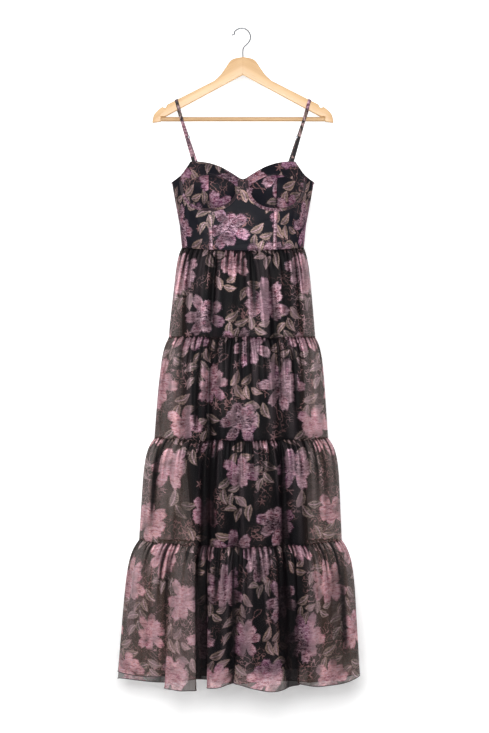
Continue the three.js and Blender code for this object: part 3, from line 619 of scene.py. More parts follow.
# Colours of the print, 0 to 255, and how they differ from cloth to cloth.
PRINT_COLOURS = {
    "Ground": (13, 12, 16),
    "Petal Deep": (48, 14, 32),
    "Petal": (146, 56, 82),
    "Petal Warm": (252, 190, 188),
    "Petal Lilac": (140, 80, 120),
    "Petal Pale": (206, 170, 180),
    "Glint": (230, 208, 236),
    "Leaf": (134, 118, 110),
    "Leaf Warm": (162, 132, 119),
    "Sprig": (142, 104, 104),
}
BODICE_COLOURS = {
    **PRINT_COLOURS,
    "Ground": (23, 23, 30),
    "Petal": (126, 50, 72),
    "Petal Pale": (180, 146, 158),
}
CASING_COLOURS = {**PRINT_COLOURS, "Ground": (50, 38, 44)}
STRAP_COLOURS = {**PRINT_COLOURS, "Ground": (30, 25, 29)}
# Ground of the sheer cloth where no lining lies behind it, a lighter brown: painted light shining through the
# cloth.
BACKLIT_SHEER_GROUND = (58, 43, 36)

# Uneven patterns: patches per metre, detail, stretch along the axes.
PRINT_NOISES = {
    "thread": (330.0, 2.0, (0.45, 1.3, 1)),
    "hatch": (420.0, 1.0, (1.7, 0.8, 1)),
    "glints": (560.0, 1.0, (0.8, 1.2, 1)),
    "strokes": (125.0, 2.0, (0.6, 1.5, 1)),
    "hue": (13.0, 1.0, (1, 0.7, 1)),
    "patch": (26.0, 2.0, (1, 1, 1)),
    "tone": (11.0, 2.0, (1, 1, 1)),
    "scribble": (75.0, 1.0, (1, 1, 1)),
    "clump": (10.0, 1.0, (1, 1, 1)),
}
WOOD_NOISES = {
    "bands": (90.0, 4.0, (0.05, 0.8, 1.0)),
    "pores": (900.0, 2.0, (0.04, 1.0, 1.0)),
    "cloud": (14.0, 2.0, (1, 1, 1)),
}
PLEATS = (80.0, 2.0, (1, 0.04, 1))
SLUBS_ACROSS = (300.0, 2.0, (0.16, 1.5, 1))
SLUBS_UPRIGHT = (300.0, 2.0, (1.5, 0.16, 1))
CLOTH_PATCHES = (40.0, 3.0, (1, 1, 1))
HAIRLINES = (900.0, 3.0, (0.3, 1.0, 2.0))
METAL_HAZE = (60.0, 2.0, (1, 1, 1))
METAL_CLOUD = (80.0, 2.0, (1, 1, 1))

# Layers laid on a petal, a leaf and wood, from the lowest up.
PETAL_LAYERS = [
    # mask, low, high, share at low, share at high, colour
    ("along", 0.28, 0.72, 0.0, 1.0, "Body"),
    ("along", 0.66, 1.02, 0.0, 0.8, "Petal Pale"),
    ("tone", 0.42, 0.62, 0.0, 0.7, "Deep"),
    ("rays", 0.5, 0.66, 0.0, 0.6, "Deep"),
    ("rays", 0.46, 0.32, 0.0, 0.5, "Petal Pale"),
    ("edge", 2.5, 6.5, 0.5, 0.0, "Petal Pale"),
    ("edge", 0.6, 2.8, 0.9, 0.0, "Deep"),
    ("hue", 0.5, 0.62, 0.0, 0.6, "Petal Lilac"),
    ("thread", 0.52, 0.64, 0.0, 0.65, "Petal Pale"),
    ("thread", 0.48, 0.34, 0.0, 0.75, "Deep"),
    ("warmth", 0.3, 1.0, 0.0, 0.36, "Petal Warm"),
    ("strokes", 0.47, 0.36, 0.0, 0.75, "Deep"),
    ("strokes", 0.54, 0.66, 0.0, 0.7, "Petal Pale"),
    ("glints", 0.63, 0.7, 0.0, 0.85, "Glint"),
]
LEAF_LAYERS = [
    # mask, low, high, share at low, share at high, colour
    ("veins", 0.5, 0.15, 0.0, 0.5, "Ground"),
    ("rim", 2.0, 4.0, 1.0, 0.0, "Blade"),
    ("rib", 0.6, 1.8, 0.8, 0.0, "Petal Pale"),
    ("thread", 0.48, 0.3, 0.0, 0.8, "Ground"),
    ("thread", 0.55, 0.7, 0.0, 0.55, "Petal Pale"),
]
WOOD_LAYERS = [
    # mask, low, high, share at low, share at high, colour
    ("bands", 0.35, 0.72, 0.0, 0.55, "Dark"),
    ("pores", 0.58, 0.75, 0.0, 0.35, "Dark"),
    ("cloud", 0.4, 0.8, 0.0, 0.3, "Dark"),
]
WARM_DEEP = 0.8
PETAL_RAYS = (1.0, 1.0, (1, 1, 1))
RAYS_ACROSS = 0.4
RAYS_ALONG = 3.0
VEIN_TURNS = 0.6
LEAF_FLESH = 0.42
SCRIBBLE_MIDDLE = 0.5

# Ramps of a mask: low, high, result at low, result at high.
RAGGED_EDGE = (0.3, 0.7, -1.5, 1.5)
MOTIF_EDGE = (-0.7, 0.7, 0.0, 1.0)
GROUND_CLOUD = (0.46, 0.7, 0.0, 0.08)
WORN_PATCH = (0.46, 0.68, 0.0, 0.7)
LACE_LINE = (0.012, 0.035, 1.0, 0.0)
LACE_CROWD = (0.5, 1.0, 0.0, 0.12)
LACE_PATCH = (0.52, 0.6, 0.0, 1.0)
HATCH_RELIEF = (0.2, 0.8, 0.55, 1.0)
PLEAT_COVER = (0.3, 0.7, -0.13, 0.13)
PATCH_SHADE = (0.3, 0.7, 0.0, 0.35)
METAL_DULLING = (0.35, 0.7, 0.0, 0.3)
WOOD_ROUGHNESS = (0.2, 0.8, 0.42, 0.56)
GLUE_LINE = (0.0002, 0.0006, 0.7, 0.0)

# Painted light on sheer cloth: a painted highlight on its ridges, and painted shade over the lining and in
# its hollows.
SHEER_TONES = [
    # where, share, colour
    ("ridge", 0.2, (112, 98, 102)),
    ("lined", 0.32, (10, 8, 10)),
    ("hollow", 0.95, (10, 8, 10)),
]
RIDGE_GLEAM = 0.3
LINED_COVER = 0.9
HOLLOW_COVER = 0.75

# Bump of each finish as strength and height in metres, and other measures of the finishes.
PRINT_BUMP = (0.35, 0.0004)
WEAVE_BUMP = (0.3, 0.0003)
METAL_BUMP = (0.08, 0.0001)
WOOD_BUMP = (0.12, 0.0003)
PRINTED_THREADS = 1500.0
WOVEN_THREADS = 1200.0
SEWING_THREADS = 4000.0
WEAVE_RELIEF = 0.25
PATCH_DARKNESS = 0.6
ROUGHNESS_SWING = 0.06
ROUGHNESS_PATCH = (0.2, 0.8)
WOVEN_GLOSS = 0.2
SCRATCH_ROUGHNESS = 0.16
DULL_METAL = 0.82
VARNISH = 0.25
VARNISH_ROUGHNESS = 0.3


def lerp(start, end, share):
    return start + (end - start) * share


def smooth(share):
    held = np.clip(share, 0, 1)
    return held * held * (3 - 2 * held)


def table_at(rows, column, z):
    """A column of a table whose rows run downwards, at heights z."""
    heights = [-row[0] for row in rows]
    return np.interp(-np.asarray(z, float), heights, [row[column] for row in rows])


def unit(vectors):
    return vectors / np.linalg.norm(vectors, axis=-1, keepdims=True)


def spline(points, steps):
    """A smooth line through points, with steps on each stretch."""
    held = np.asarray(points, float)
    ends = np.vstack([2 * held[0] - held[1], held, 2 * held[-1] - held[-2]])
    line = []
    for a, b, c, d in zip(ends, ends[1:], ends[2:], ends[3:]):
        for t in np.arange(steps) / steps:
            even = 2 * b + (c - a) * t + (2 * a - 5 * b + 4 * c - d) * t * t
            line.append(0.5 * (even + (3 * b - a - 3 * c + d) * t**3))
    return np.array(line + [held[-1]])


def resampled(points, count):
    """A line of straight stretches as count points at even distances."""
    held = np.asarray(points, float)
    along = np.concatenate([[0], np.cumsum(np.linalg.norm(np.diff(held, axis=0), axis=1))])
    places = np.linspace(0, along[-1], count)
    return np.stack([np.interp(places, along, held[:, i]) for i in range(held.shape[1])], axis=1)


# Meshes


def sheet_faces(rows, columns):
    """Quads of a grid whose rows run down and columns to the right, facing the onlooker."""
    first = np.arange(rows * columns).reshape(rows, columns)[:-1, :-1].ravel()
    return np.stack([first, first + columns, first + columns + 1, first + 1], axis=1)


def shell_faces(rows, columns):
    """Outside, inside and rim of a wall between two such grids."""
    count = rows * columns
    front = sheet_faces(rows, columns)
    index = np.arange(count).reshape(rows, columns)
    rim = np.concatenate([index[0, :-1], index[:-1, -1], index[-1, :0:-1], index[:0:-1, 0]])
    after = np.roll(rim, -1)
    edge = np.stack([rim, after, after + count, rim + count], axis=1)
    return np.concatenate([front, front[:, ::-1] + count, edge])


def put_in_scene(name, data):
    """A new object at the origin, in the scene's own collection."""
    thing = bpy.data.objects.new(name, data)
    bpy.context.scene.collection.objects.link(thing)
    return thing


def as_plain_piece(guide, name):
    """A guide object's finished shape as a plain mesh object; the guide goes."""
    depsgraph = bpy.context.evaluated_depsgraph_get()
    mesh = bpy.data.meshes.new_from_object(guide.evaluated_get(depsgraph))
    mesh.name = name
    bpy.data.objects.remove(guide)
    return put_in_scene(name, mesh)


def round_edges(guide, width, steps, degrees):
    """Rounds off the edges of a guide object that are sharper than an angle."""
    bevel = guide.modifiers.new("rounding", "BEVEL")
    bevel.width = width * MM
    bevel.segments = steps
    bevel.limit_method = "ANGLE"
    bevel.angle_limit = math.radians(degrees)


def make_piece(name, points, faces, look, flat=None, fields=None):
    """A smooth mesh object from points in millimetres, with its flat cloth as UV and its print fields."""
    mesh = bpy.data.meshes.new(name)
    mesh.from_pydata((np.asarray(points).reshape(-1, 3) * MM).tolist(), [], np.asarray(faces).tolist())
    mesh.polygons.foreach_set("use_smooth", [True] * len(mesh.polygons))
    if flat is not None:
        corners = np.empty(len(mesh.loops), np.int32)
        mesh.loops.foreach_get("vertex_index", corners)
        layer = mesh.uv_layers.new(name="cloth")
        layer.data.foreach_set("uv", (flat.reshape(-1, 2)[corners] * MM).astype(np.float32).ravel())
    for motif, values in (fields or {}).items():
        attribute = mesh.attributes.new(motif, "FLOAT", "POINT")
        attribute.data.foreach_set("value", values.astype(np.float32).ravel())
    mesh.materials.append(look)
    mesh.update()
    return put_in_scene(name, mesh)


def settle(piece, nodes, body=BODY):
    """Puts a finished piece on its body and in place of its solids."""
    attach(piece, body)
    if nodes:
        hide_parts(*nodes)
    return piece


# Print


def wrapped(flat, x, y):
    """Offsets of flat cloth points from the nearest repeat of a place on the print."""
    across = (flat[..., 0] - x + REPEAT_WIDE / 2) % REPEAT_WIDE - REPEAT_WIDE / 2
    down = (flat[..., 1] - y + REPEAT_TALL / 2) % REPEAT_TALL - REPEAT_TALL / 2
    return across, down


def turned(across, down, degrees):
    angle = math.radians(degrees)
    along = across * math.cos(angle) + down * math.sin(angle)
    beside = down * math.cos(angle) - across * math.sin(angle)
    return along, beside


def paint_petals(fields, across, down, radius, petals, turn, deeper, seed):
    """A ring of uneven, frilled petals laid over one another, each with its own length and tone."""
    breadth = radius * math.sin(math.pi / petals) * PETAL_BREADTH
    for petal in range(petals):
        reach = radius * (1 + PETAL_UNEVENNESS * math.sin(LENGTH_PHASE * petal * petal + turn))
        sway = PETAL_SWAY * math.sin(SWAY_PHASE * petal + seed)
        along, beside = turned(across, down, turn + sway + 360 * petal / petals)
        share = along / reach
        widening = breadth * (PETAL_FOOT + PETAL_WIDENING * np.clip(share, 0, PETAL_WIDEST))
        tip = np.clip((share - PETAL_TIP) / PETAL_TIP_LENGTH, 0, 1)
        frill = PETAL_FRILL * np.sin(PETAL_FRILLS * beside / breadth + petal)
        frill += PETAL_NOTCH * np.exp(-((PETAL_NOTCH_NARROWNESS * beside / breadth) ** 2))
        spread = ((share - PETAL_SEAT) / PETAL_REACH) ** 2 + (beside / widening) ** 2 + frill * tip
        inside = (1 - np.sqrt(np.maximum(spread, 0))) * min(PETAL_REACH * reach, breadth) - PETAL_GAP
        on_top = inside > 0
        painted = {
            "petal_edge": inside,
            "petal_along": share - deeper + PETAL_TONES * math.sin(TONE_PHASE * petal + seed),
            "petal_beside": beside / (PETAL_FOOT + share),
        }
        for motif, values in painted.items():
            fields[motif] = np.where(on_top, values, fields[motif])
        fields["bloom"] = np.maximum(fields["bloom"], inside)


def paint_flower(fields, flat, x, y, radius, petals, turn, warmth):
    """An outer and an inner ring of petals round a dark middle."""
    across, down = wrapped(flat, x, y)
    paint_petals(fields, across, down, radius, petals, turn, 0.0, x)
    inner_turn = turn + 180 / petals
    paint_petals(fields, across, down, INNER_RING * radius, petals - 2, inner_turn, INNER_DEEPER, y)
    distance = np.hypot(across, down)
    core = CORE_SHARE * radius - distance
    fields["petal_along"] = np.where(core > 0, 0.0, fields["petal_along"])
    fields["bloom"] = np.maximum(fields["bloom"], core)
    fields["warmth"] = np.where(distance < WARMTH_REACH * radius, warmth, fields["warmth"])


def leaf_shape(across, down, direction, length):
    """Distance inside a bent leaf, and the places across and along it."""
    along, beside = turned(across, down, direction)
    share = np.clip(along / length, 0, 1)
    bend = beside - LEAF_BEND * length * np.sin(math.pi * share)
    half = LEAF_SHARE / 2 * length * np.sin(math.pi * share**LEAF_FULLNESS)
    outside = np.maximum(-along, along - length)
    inside = np.where(outside > 0, -np.hypot(outside, beside), half - np.abs(bend))
    return inside, bend, along


def paint_leaf(fields, across, down, direction, length, warmth):
    inside, bend, along = leaf_shape(across, down, direction, length)
    on_top = inside > np.maximum(fields["leaf"], 0)
    vein = np.abs(bend) * VEIN_SLANT - along
    painted = {"leaf_beside": bend, "leaf_vein": vein, "leaf_warmth": warmth}
    for motif, values in painted.items():
        fields[motif] = np.where(on_top, values, fields[motif])
    fields["leaf"] = np.maximum(fields["leaf"], inside)


def paint_spray(fields, flat, x, y, direction, leaves, length, warmth):
    """Leaves set in turn on the two sides of a short bending stem, with one at its tip."""
    place = np.array([x, y], float)
    for leaf in range(leaves):
        heading = direction + SPRAY_BEND * leaf
        angle = math.radians(heading)
        splay = LEAF_SPLAY if leaf % 2 else -LEAF_SPLAY
        if leaf == leaves - 1:
            splay = 0
        across, down = wrapped(flat, *place)
        paint_leaf(fields, across, down, heading + splay, length * (1 - LEAF_SHRINK * leaf), warmth)
        place = place + LEAF_SPACING * length * np.array([math.cos(angle), math.sin(angle)])


def paint_star(fields, flat, x, y, radius, points, turn):
    across, down = wrapped(flat, x, y)
    distance = np.hypot(across, down)
    angle = np.arctan2(down, across) - math.radians(turn)
    point = np.abs(np.cos(points * angle / 2)) ** STAR_SHARPNESS
    edge = radius * lerp(STAR_MIDDLE, 1, point)
    fields["sprig"] = np.maximum(fields["sprig"], STAR_SOFTNESS * (edge - distance))


def paint_bud(fields, flat, x, y, direction, length):
    """The outline of a bud with two stamens at its tip."""
    across, down = wrapped(flat, x, y)
    inside = leaf_shape(across, down, direction, length)[0]
    lines = OUTLINE_HALF - np.abs(inside - OUTLINE_HALF)
    for splay in (-STAMEN_SPLAY, STAMEN_SPLAY):
        along, beside = turned(across, down, direction)
        past, aside = turned(along - length, beside, splay)
        stamen = OUTLINE_HALF - np.abs(aside)
        on_line = (past > 0) & (past < STAMEN_REACH * length)
        lines = np.maximum(lines, np.where(on_line, stamen, -length))
    fields["sprig"] = np.maximum(fields["sprig"], lines)


def print_fields(name, flat):
    """Distances inside each motif of the print, in millimetres, at points of a piece's flat cloth."""
    laid = flat + np.array(PRINT_SHIFTS[name], float)
    size = flat.shape[:-1]
    fields = {motif: np.full(size, FAR_OUTSIDE) for motif in PRINT_FIELDS}
    fields["warmth"] = np.full(size, EVEN_WARMTH)
    fields["leaf_warmth"] = np.full(size, EVEN_WARMTH)
    for flower in FLOWERS:
        paint_flower(fields, laid, *flower)
    for spray in SPRAYS:
        paint_spray(fields, laid, *spray)
    for star in STARS:
        paint_star(fields, laid, *star)
    for bud in BUDS:
        paint_bud(fields, laid, *bud)
    return fields


# Shader helpers


def srgb(red, green, blue):
    """A colour picked on screen, 0 to 255, as Blender's own linear colour."""
    channels = [value / 255 for value in (red, green, blue)]
    linear = [c / 12.92 if c <= 0.04045 else ((c + 0.055) / 1.055) ** 2.4 for c in channels]
    return (*linear, 1.0)


def node(tree, kind, inputs=None, **settings):
    """A node with its settings, and each input either a plain value or another node's socket."""
    made = tree.nodes.new(kind)
    for key, value in settings.items():
        setattr(made, key, value)
    for key, value in (inputs or {}).items():
        if isinstance(value, bpy.types.NodeSocket):
            tree.links.new(value, made.inputs[key])
        else:
            made.inputs[key].default_value = value
    return made


def maths(tree, operation, *values):
    return node(tree, "ShaderNodeMath", dict(enumerate(values)), operation=operation).outputs[0]


def mix_colour(tree, share, first, second):
    inputs = {0: share, 6: first, 7: second}
    return node(tree, "ShaderNodeMix", inputs, data_type="RGBA").outputs[2]


def ramp(tree, value, low, high, start=0.0, end=1.0):
    """Value from low to high, as start to end, held at both ends."""
    inputs = {"Value": value, 1: low, 2: high, 3: start, 4: end}
    return node(tree, "ShaderNodeMapRange", inputs).outputs[0]


def field(tree, name):
    return node(tree, "ShaderNodeAttribute", attribute_name=name).outputs["Fac"]


def opposite(tree, value):
    return maths(tree, "SUBTRACT", 1.0, value)


def noise(tree, vector, scale, detail, stretch):
    placed = node(tree, "ShaderNodeMapping", {"Vector": vector, "Scale": stretch}).outputs[0]
    inputs = {"Vector": placed, "Scale": scale, "Detail": detail}
    return node(tree, "ShaderNodeTexNoise", inputs).outputs[0]


def layered(tree, colour, layers, masks, colours):
    """A colour under a table of layers, each laid on where its mask goes from low to high."""
    for mask, low, high, start, end, name in layers:
        share = ramp(tree, masks[mask], low, high, start, end)
        colour = mix_colour(tree, share, colour, colours[name])
    return colour


def shader_group(name, inputs, outputs):
    """An empty node group with its named sockets, and its inlet and outlet nodes."""
    tree = bpy.data.node_groups.new(name, "ShaderNodeTree")
    for socket, kind in inputs:
        tree.interface.new_socket(socket, in_out="INPUT", socket_type=kind)
    for socket, kind in outputs:
        tree.interface.new_socket(socket, in_out="OUTPUT", socket_type=kind)
    return tree, tree.nodes.new("NodeGroupInput").outputs, tree.nodes.new("NodeGroupOutput").inputs


COLOUR = "NodeSocketColor"
VALUE = "NodeSocketFloat"
VECTOR = "NodeSocketVector"


def petal_colour(tree, masks, colours):
    """A petal from its deep foot to its pale tip, with rays, a dark edge and crossing threads."""
    along = field(tree, "petal_along")
    warmth = field(tree, "warmth")
    warm_share = maths(tree, "MULTIPLY", warmth, WARM_DEEP)
    deep = mix_colour(tree, warm_share, colours["Petal Deep"], colours["Petal"])
    body = mix_colour(tree, warmth, colours["Petal"], colours["Petal Warm"])
    lengthwise = {
        0: maths(tree, "MULTIPLY", field(tree, "petal_beside"), RAYS_ACROSS),
        1: maths(tree, "MULTIPLY", along, RAYS_ALONG),
    }
    rays = noise(tree, node(tree, "ShaderNodeCombineXYZ", lengthwise).outputs[0], *PETAL_RAYS)
    shown = {**masks, "along": along, "warmth": warmth, "rays": rays, "edge": field(tree, "petal_edge")}
    return layered(tree, deep, PETAL_LAYERS, shown, {**colours, "Deep": deep, "Body": body})


def leaf_colour(tree, masks, colours):
    """A leaf with a pale rim and rib, and dark veins."""
    blade = mix_colour(tree, field(tree, "leaf_warmth"), colours["Leaf"], colours["Leaf Warm"])
    flesh = mix_colour(tree, LEAF_FLESH, blade, colours["Ground"])
    veins = maths(tree, "SINE", maths(tree, "MULTIPLY", field(tree, "leaf_vein"), VEIN_TURNS))
    shown = {
        **masks,
        "veins": maths(tree, "ABSOLUTE", veins),
        "rim": field(tree, "leaf"),
        "rib": maths(tree, "ABSOLUTE", field(tree, "leaf_beside")),
    }
    return layered(tree, flesh, LEAF_LAYERS, shown, {**colours, "Blade": blade})


def lace_cover(tree, masks):
    """Fine scribbled lines in patches, closer together on warmer cloth."""
    line = maths(tree, "ABSOLUTE", maths(tree, "SUBTRACT", masks["scribble"], SCRIBBLE_MIDDLE))
    crowd = maths(tree, "ADD", masks["clump"], ramp(tree, field(tree, "warmth"), *LACE_CROWD))
    return maths(tree, "MULTIPLY", ramp(tree, line, *LACE_LINE), ramp(tree, crowd, *LACE_PATCH))


def floral_print():
    """The print's colour, its cover of metallic thread and its slight relief."""
    tree, given, put = shader_group(
        "floral_print",
        [(name, COLOUR) for name in PRINT_COLOURS],
        [("Colour", COLOUR), ("Cover", VALUE), ("Relief", VALUE)],
    )
    colours = {name: given[name] for name in PRINT_COLOURS}
    cloth = node(tree, "ShaderNodeUVMap", uv_map="cloth").outputs[0]
    masks = {name: noise(tree, cloth, *sizes) for name, sizes in PRINT_NOISES.items()}
    ragged = ramp(tree, masks["hatch"], *RAGGED_EDGE)

    def cover(motif):
        return ramp(tree, maths(tree, "ADD", field(tree, motif), ragged), *MOTIF_EDGE)

    bloom_cover = cover("bloom")
    leaf_cover = cover("leaf")
    sprig_cover = maths(tree, "MAXIMUM", cover("sprig"), lace_cover(tree, masks))
    cloud = ramp(tree, masks["clump"], *GROUND_CLOUD)
    colour = mix_colour(tree, cloud, colours["Ground"], colours["Leaf"])
    colour = mix_colour(tree, sprig_cover, colour, colours["Sprig"])
    colour = mix_colour(tree, leaf_cover, colour, leaf_colour(tree, masks, colours))
    colour = mix_colour(tree, bloom_cover, colour, petal_colour(tree, masks, colours))
    colour = mix_colour(tree, ramp(tree, masks["patch"], *WORN_PATCH), colour, colours["Ground"])
    whole = maths(tree, "MAXIMUM", maths(tree, "MAXIMUM", bloom_cover, leaf_cover), sprig_cover)
    relief = maths(tree, "MULTIPLY", whole, ramp(tree, masks["hatch"], *HATCH_RELIEF))
    tree.links.new(colour, put["Colour"])
    tree.links.new(whole, put["Cover"])
    tree.links.new(relief, put["Relief"])
    return tree


def plain_weave():
    """Crossing threads as a height, and slubs as a shade that varies about one."""
    tree, given, put = shader_group(
        "plain_weave",
        [("Cloth", VECTOR), ("Threads per Metre", VALUE), ("Slub", VALUE)],
        [("Height", VALUE), ("Shade", VALUE)],
    )
    parts = node(tree, "ShaderNodeSeparateXYZ", {0: given["Cloth"]}).outputs
    turns = maths(tree, "MULTIPLY", given["Threads per Metre"], math.pi)
    warp = maths(tree, "SINE", maths(tree, "MULTIPLY", parts[0], turns))
    weft = maths(tree, "SINE", maths(tree, "MULTIPLY", parts[1], turns))
    crossing = maths(tree, "MULTIPLY", maths(tree, "ABSOLUTE", warp), maths(tree, "ABSOLUTE", weft))
    across = noise(tree, given["Cloth"], *SLUBS_ACROSS)
    upright = noise(tree, given["Cloth"], *SLUBS_UPRIGHT)
    slub = maths(tree, "ADD", across, upright)
    swing = maths(tree, "MULTIPLY", maths(tree, "SUBTRACT", slub, 1.0), given["Slub"])
    tree.links.new(crossing, put["Height"])
    tree.links.new(maths(tree, "ADD", swing, 1.0), put["Shade"])
    return tree


def fine_scratches():
    """Hairline marks on bright metal as a roughness and a height."""
    tree, given, put = shader_group(
        "fine_scratches",
        [("Place", VECTOR), ("Roughness", VALUE)],
        [("Roughness", VALUE), ("Height", VALUE)],
    )
    marks = noise(tree, given["Place"], *HAIRLINES)
    haze = noise(tree, given["Place"], *METAL_HAZE)
    swing = maths(tree, "MULTIPLY", maths(tree, "ADD", marks, haze), SCRATCH_ROUGHNESS)
    tree.links.new(maths(tree, "ADD", swing, given["Roughness"]), put["Roughness"])
    tree.links.new(marks, put["Height"])
    return tree


def wood_grain():
    """Growth bands and pores running along a board, as a colour, a roughness and a height."""
    tree, given, put = shader_group(
        "wood_grain",
        [("Along", VECTOR), ("Pale", COLOUR), ("Dark", COLOUR)],
        [("Colour", COLOUR), ("Roughness", VALUE), ("Height", VALUE)],
    )
    masks = {name: noise(tree, given["Along"], *sizes) for name, sizes in WOOD_NOISES.items()}
    colour = layered(tree, given["Pale"], WOOD_LAYERS, masks, given)
    tree.links.new(colour, put["Colour"])
    tree.links.new(ramp(tree, masks["bands"], *WOOD_ROUGHNESS), put["Roughness"])
    tree.links.new(masks["pores"], put["Height"])
    return tree


FLORAL = floral_print()
WEAVE = plain_weave()
SCRATCHES = fine_scratches()
GRAIN = wood_grain()


def new_material(name):
    material = bpy.data.materials.new(name)
    material.use_nodes = True
    return material, material.node_tree, material.node_tree.nodes["Principled BSDF"]


def place_group(tree, group, inputs):
    return node(tree, "ShaderNodeGroup", inputs, node_tree=group).outputs


def bump(tree, shader, height, strength, distance):
    inputs = {"Height": height, "Strength": strength, "Distance": distance}
    tree.links.new(node(tree, "ShaderNodeBump", inputs).outputs[0], shader.inputs["Normal"])


def shaded(tree, colour, shade):
    """A colour made darker where a shade falls below one."""
    black = (0.0, 0.0, 0.0, 1.0)
    return mix_colour(tree, maths(tree, "MAXIMUM", opposite(tree, shade), 0.0), colour, black)


def darkened(colour, share):
    return srgb(*[channel * share for channel in colour])


def sheer_colour(tree, colour, cover, pale):
    """Colour of sheer cloth, with a painted highlight on its ridges and painted shade over the lining and in
    its hollows.
    """
    gleam = maths(tree, "MULTIPLY", field(tree, "ridge"), RIDGE_GLEAM)
    colour = mix_colour(tree, maths(tree, "MULTIPLY", gleam, cover), colour, pale)
    for where, share, tone in SHEER_TONES:
        colour = mix_colour(tree, maths(tree, "MULTIPLY", field(tree, where), share), colour, srgb(*tone))
    return colour


def sheer_alpha(tree, cloth, cover, sheer):
    """How close sheer cloth looks: closer in fine pleats, over the lining and where it crowds in a hollow."""
    pleats = ramp(tree, noise(tree, cloth, *PLEATS), *PLEAT_COVER)
    thin = maths(tree, "ADD", ramp(tree, cover, 0, 1, *sheer), pleats)
    backed = ramp(tree, field(tree, "lined"), 0, 1, sheer[0], LINED_COVER)
    alpha = maths(tree, "MAXIMUM", thin, backed)
    closing = maths(tree, "MULTIPLY", field(tree, "hollow"), HOLLOW_COVER)
    return opposite(tree, maths(tree, "MULTIPLY", opposite(tree, alpha), opposite(tree, closing)))


def floral_material(name, colours, sheer, roughness, metal, slub, gloss):
    """Printed cloth; its ground and its motifs differ in gloss and, where it is sheer, in cover."""
    material, tree, shader = new_material(name)
    inputs = {key: srgb(*value) for key, value in colours.items()}
    if sheer:
        # Where no lining lies behind, the ground is painted a lighter brown: painted light shining through
        # the sheer cloth.
        inputs["Ground"] = mix_colour(tree, field(tree, "lined"), srgb(*BACKLIT_SHEER_GROUND), inputs["Ground"])
    printed = place_group(tree, FLORAL, inputs)
    cloth = node(tree, "ShaderNodeUVMap", uv_map="cloth").outputs[0]
    weave = place_group(tree, WEAVE, {"Cloth": cloth, "Threads per Metre": PRINTED_THREADS, "Slub": slub})
    cover = printed["Cover"]
    colour = shaded(tree, printed["Colour"], weave["Shade"])
    if sheer:
        colour = sheer_colour(tree, colour, cover, inputs["Petal Pale"])
        tree.links.new(sheer_alpha(tree, cloth, cover, sheer), shader.inputs["Alpha"])
    tree.links.new(colour, shader.inputs["Base Color"])
    tree.links.new(ramp(tree, cover, 0, 1, *roughness), shader.inputs["Roughness"])
    tree.links.new(ramp(tree, cover, 0, 1, *metal), shader.inputs["Metallic"])
    height = maths(tree, "ADD", printed["Relief"], maths(tree, "MULTIPLY", weave["Height"], WEAVE_RELIEF))
    bump(tree, shader, height, *PRINT_BUMP)
    shader.inputs["Specular IOR Level"].default_value = gloss
    return material


def woven_material(name, colour, roughness, slub, threads=WOVEN_THREADS, sheen=0.1):
    """Plain cloth or thread whose pattern lies on Object coordinates."""
    material, tree, shader = new_material(name)
    spot = node(tree, "ShaderNodeTexCoord").outputs["Object"]
    weave = place_group(tree, WEAVE, {"Cloth": spot, "Threads per Metre": threads, "Slub": slub})
    patch = noise(tree, spot, *CLOTH_PATCHES)
    dark = darkened(colour, PATCH_DARKNESS)
    tint = mix_colour(tree, ramp(tree, patch, *PATCH_SHADE), srgb(*colour), dark)
    tree.links.new(shaded(tree, tint, weave["Shade"]), shader.inputs["Base Color"])
    limits = (roughness - ROUGHNESS_SWING, roughness + ROUGHNESS_SWING)
    uneven = ramp(tree, patch, *ROUGHNESS_PATCH, *limits)
    tree.links.new(uneven, shader.inputs["Roughness"])
    bump(tree, shader, weave["Height"], *WEAVE_BUMP)
    shader.inputs["Sheen Weight"].default_value = sheen
    shader.inputs["Specular IOR Level"].default_value = WOVEN_GLOSS
    return material


def metal_material(name, colour, roughness):
    material, tree, shader = new_material(name)
    spot = node(tree, "ShaderNodeTexCoord").outputs["Object"]
    marks = place_group(tree, SCRATCHES, {"Place": spot, "Roughness": roughness})
    dulling = ramp(tree, noise(tree, spot, *METAL_CLOUD), *METAL_DULLING)
    tint = mix_colour(tree, dulling, srgb(*colour), darkened(colour, DULL_METAL))
    tree.links.new(tint, shader.inputs["Base Color"])
    tree.links.new(marks["Roughness"], shader.inputs["Roughness"])
    bump(tree, shader, marks["Height"], *METAL_BUMP)
    shader.inputs["Metallic"].default_value = 1.0
    return material


def wood_material(name, pale, dark, is_arm):
    """Varnished wood; on the arms the grain follows each arm, and a glue line marks their joint."""
    material, tree, shader = new_material(name)
    spot = node(tree, "ShaderNodeTexCoord").outputs["Object"]
    along = spot
    if is_arm:
        parts = node(tree, "ShaderNodeSeparateXYZ", {0: spot}).outputs
        outwards = maths(tree, "ABSOLUTE", parts[0])
        folded = node(tree, "ShaderNodeCombineXYZ", {0: outwards, 1: parts[1], 2: parts[2]}).outputs[0]
        slope = (0.0, -math.atan(ARM_SLOPE), 0.0)
        along = node(tree, "ShaderNodeMapping", {"Vector": folded, "Rotation": slope}).outputs[0]
    grain = place_group(tree, GRAIN, {"Along": along, "Pale": srgb(*pale), "Dark": srgb(*dark)})
    colour = grain["Colour"]
    if is_arm:
        glue = ramp(tree, outwards, *GLUE_LINE)
        colour = mix_colour(tree, glue, colour, srgb(*dark))
    tree.links.new(colour, shader.inputs["Base Color"])
    tree.links.new(grain["Roughness"], shader.inputs["Roughness"])
    bump(tree, shader, grain["Height"], *WOOD_BUMP)
    shader.inputs["Coat Weight"].default_value = VARNISH
    shader.inputs["Coat Roughness"].default_value = VARNISH_ROUGHNESS
    return material


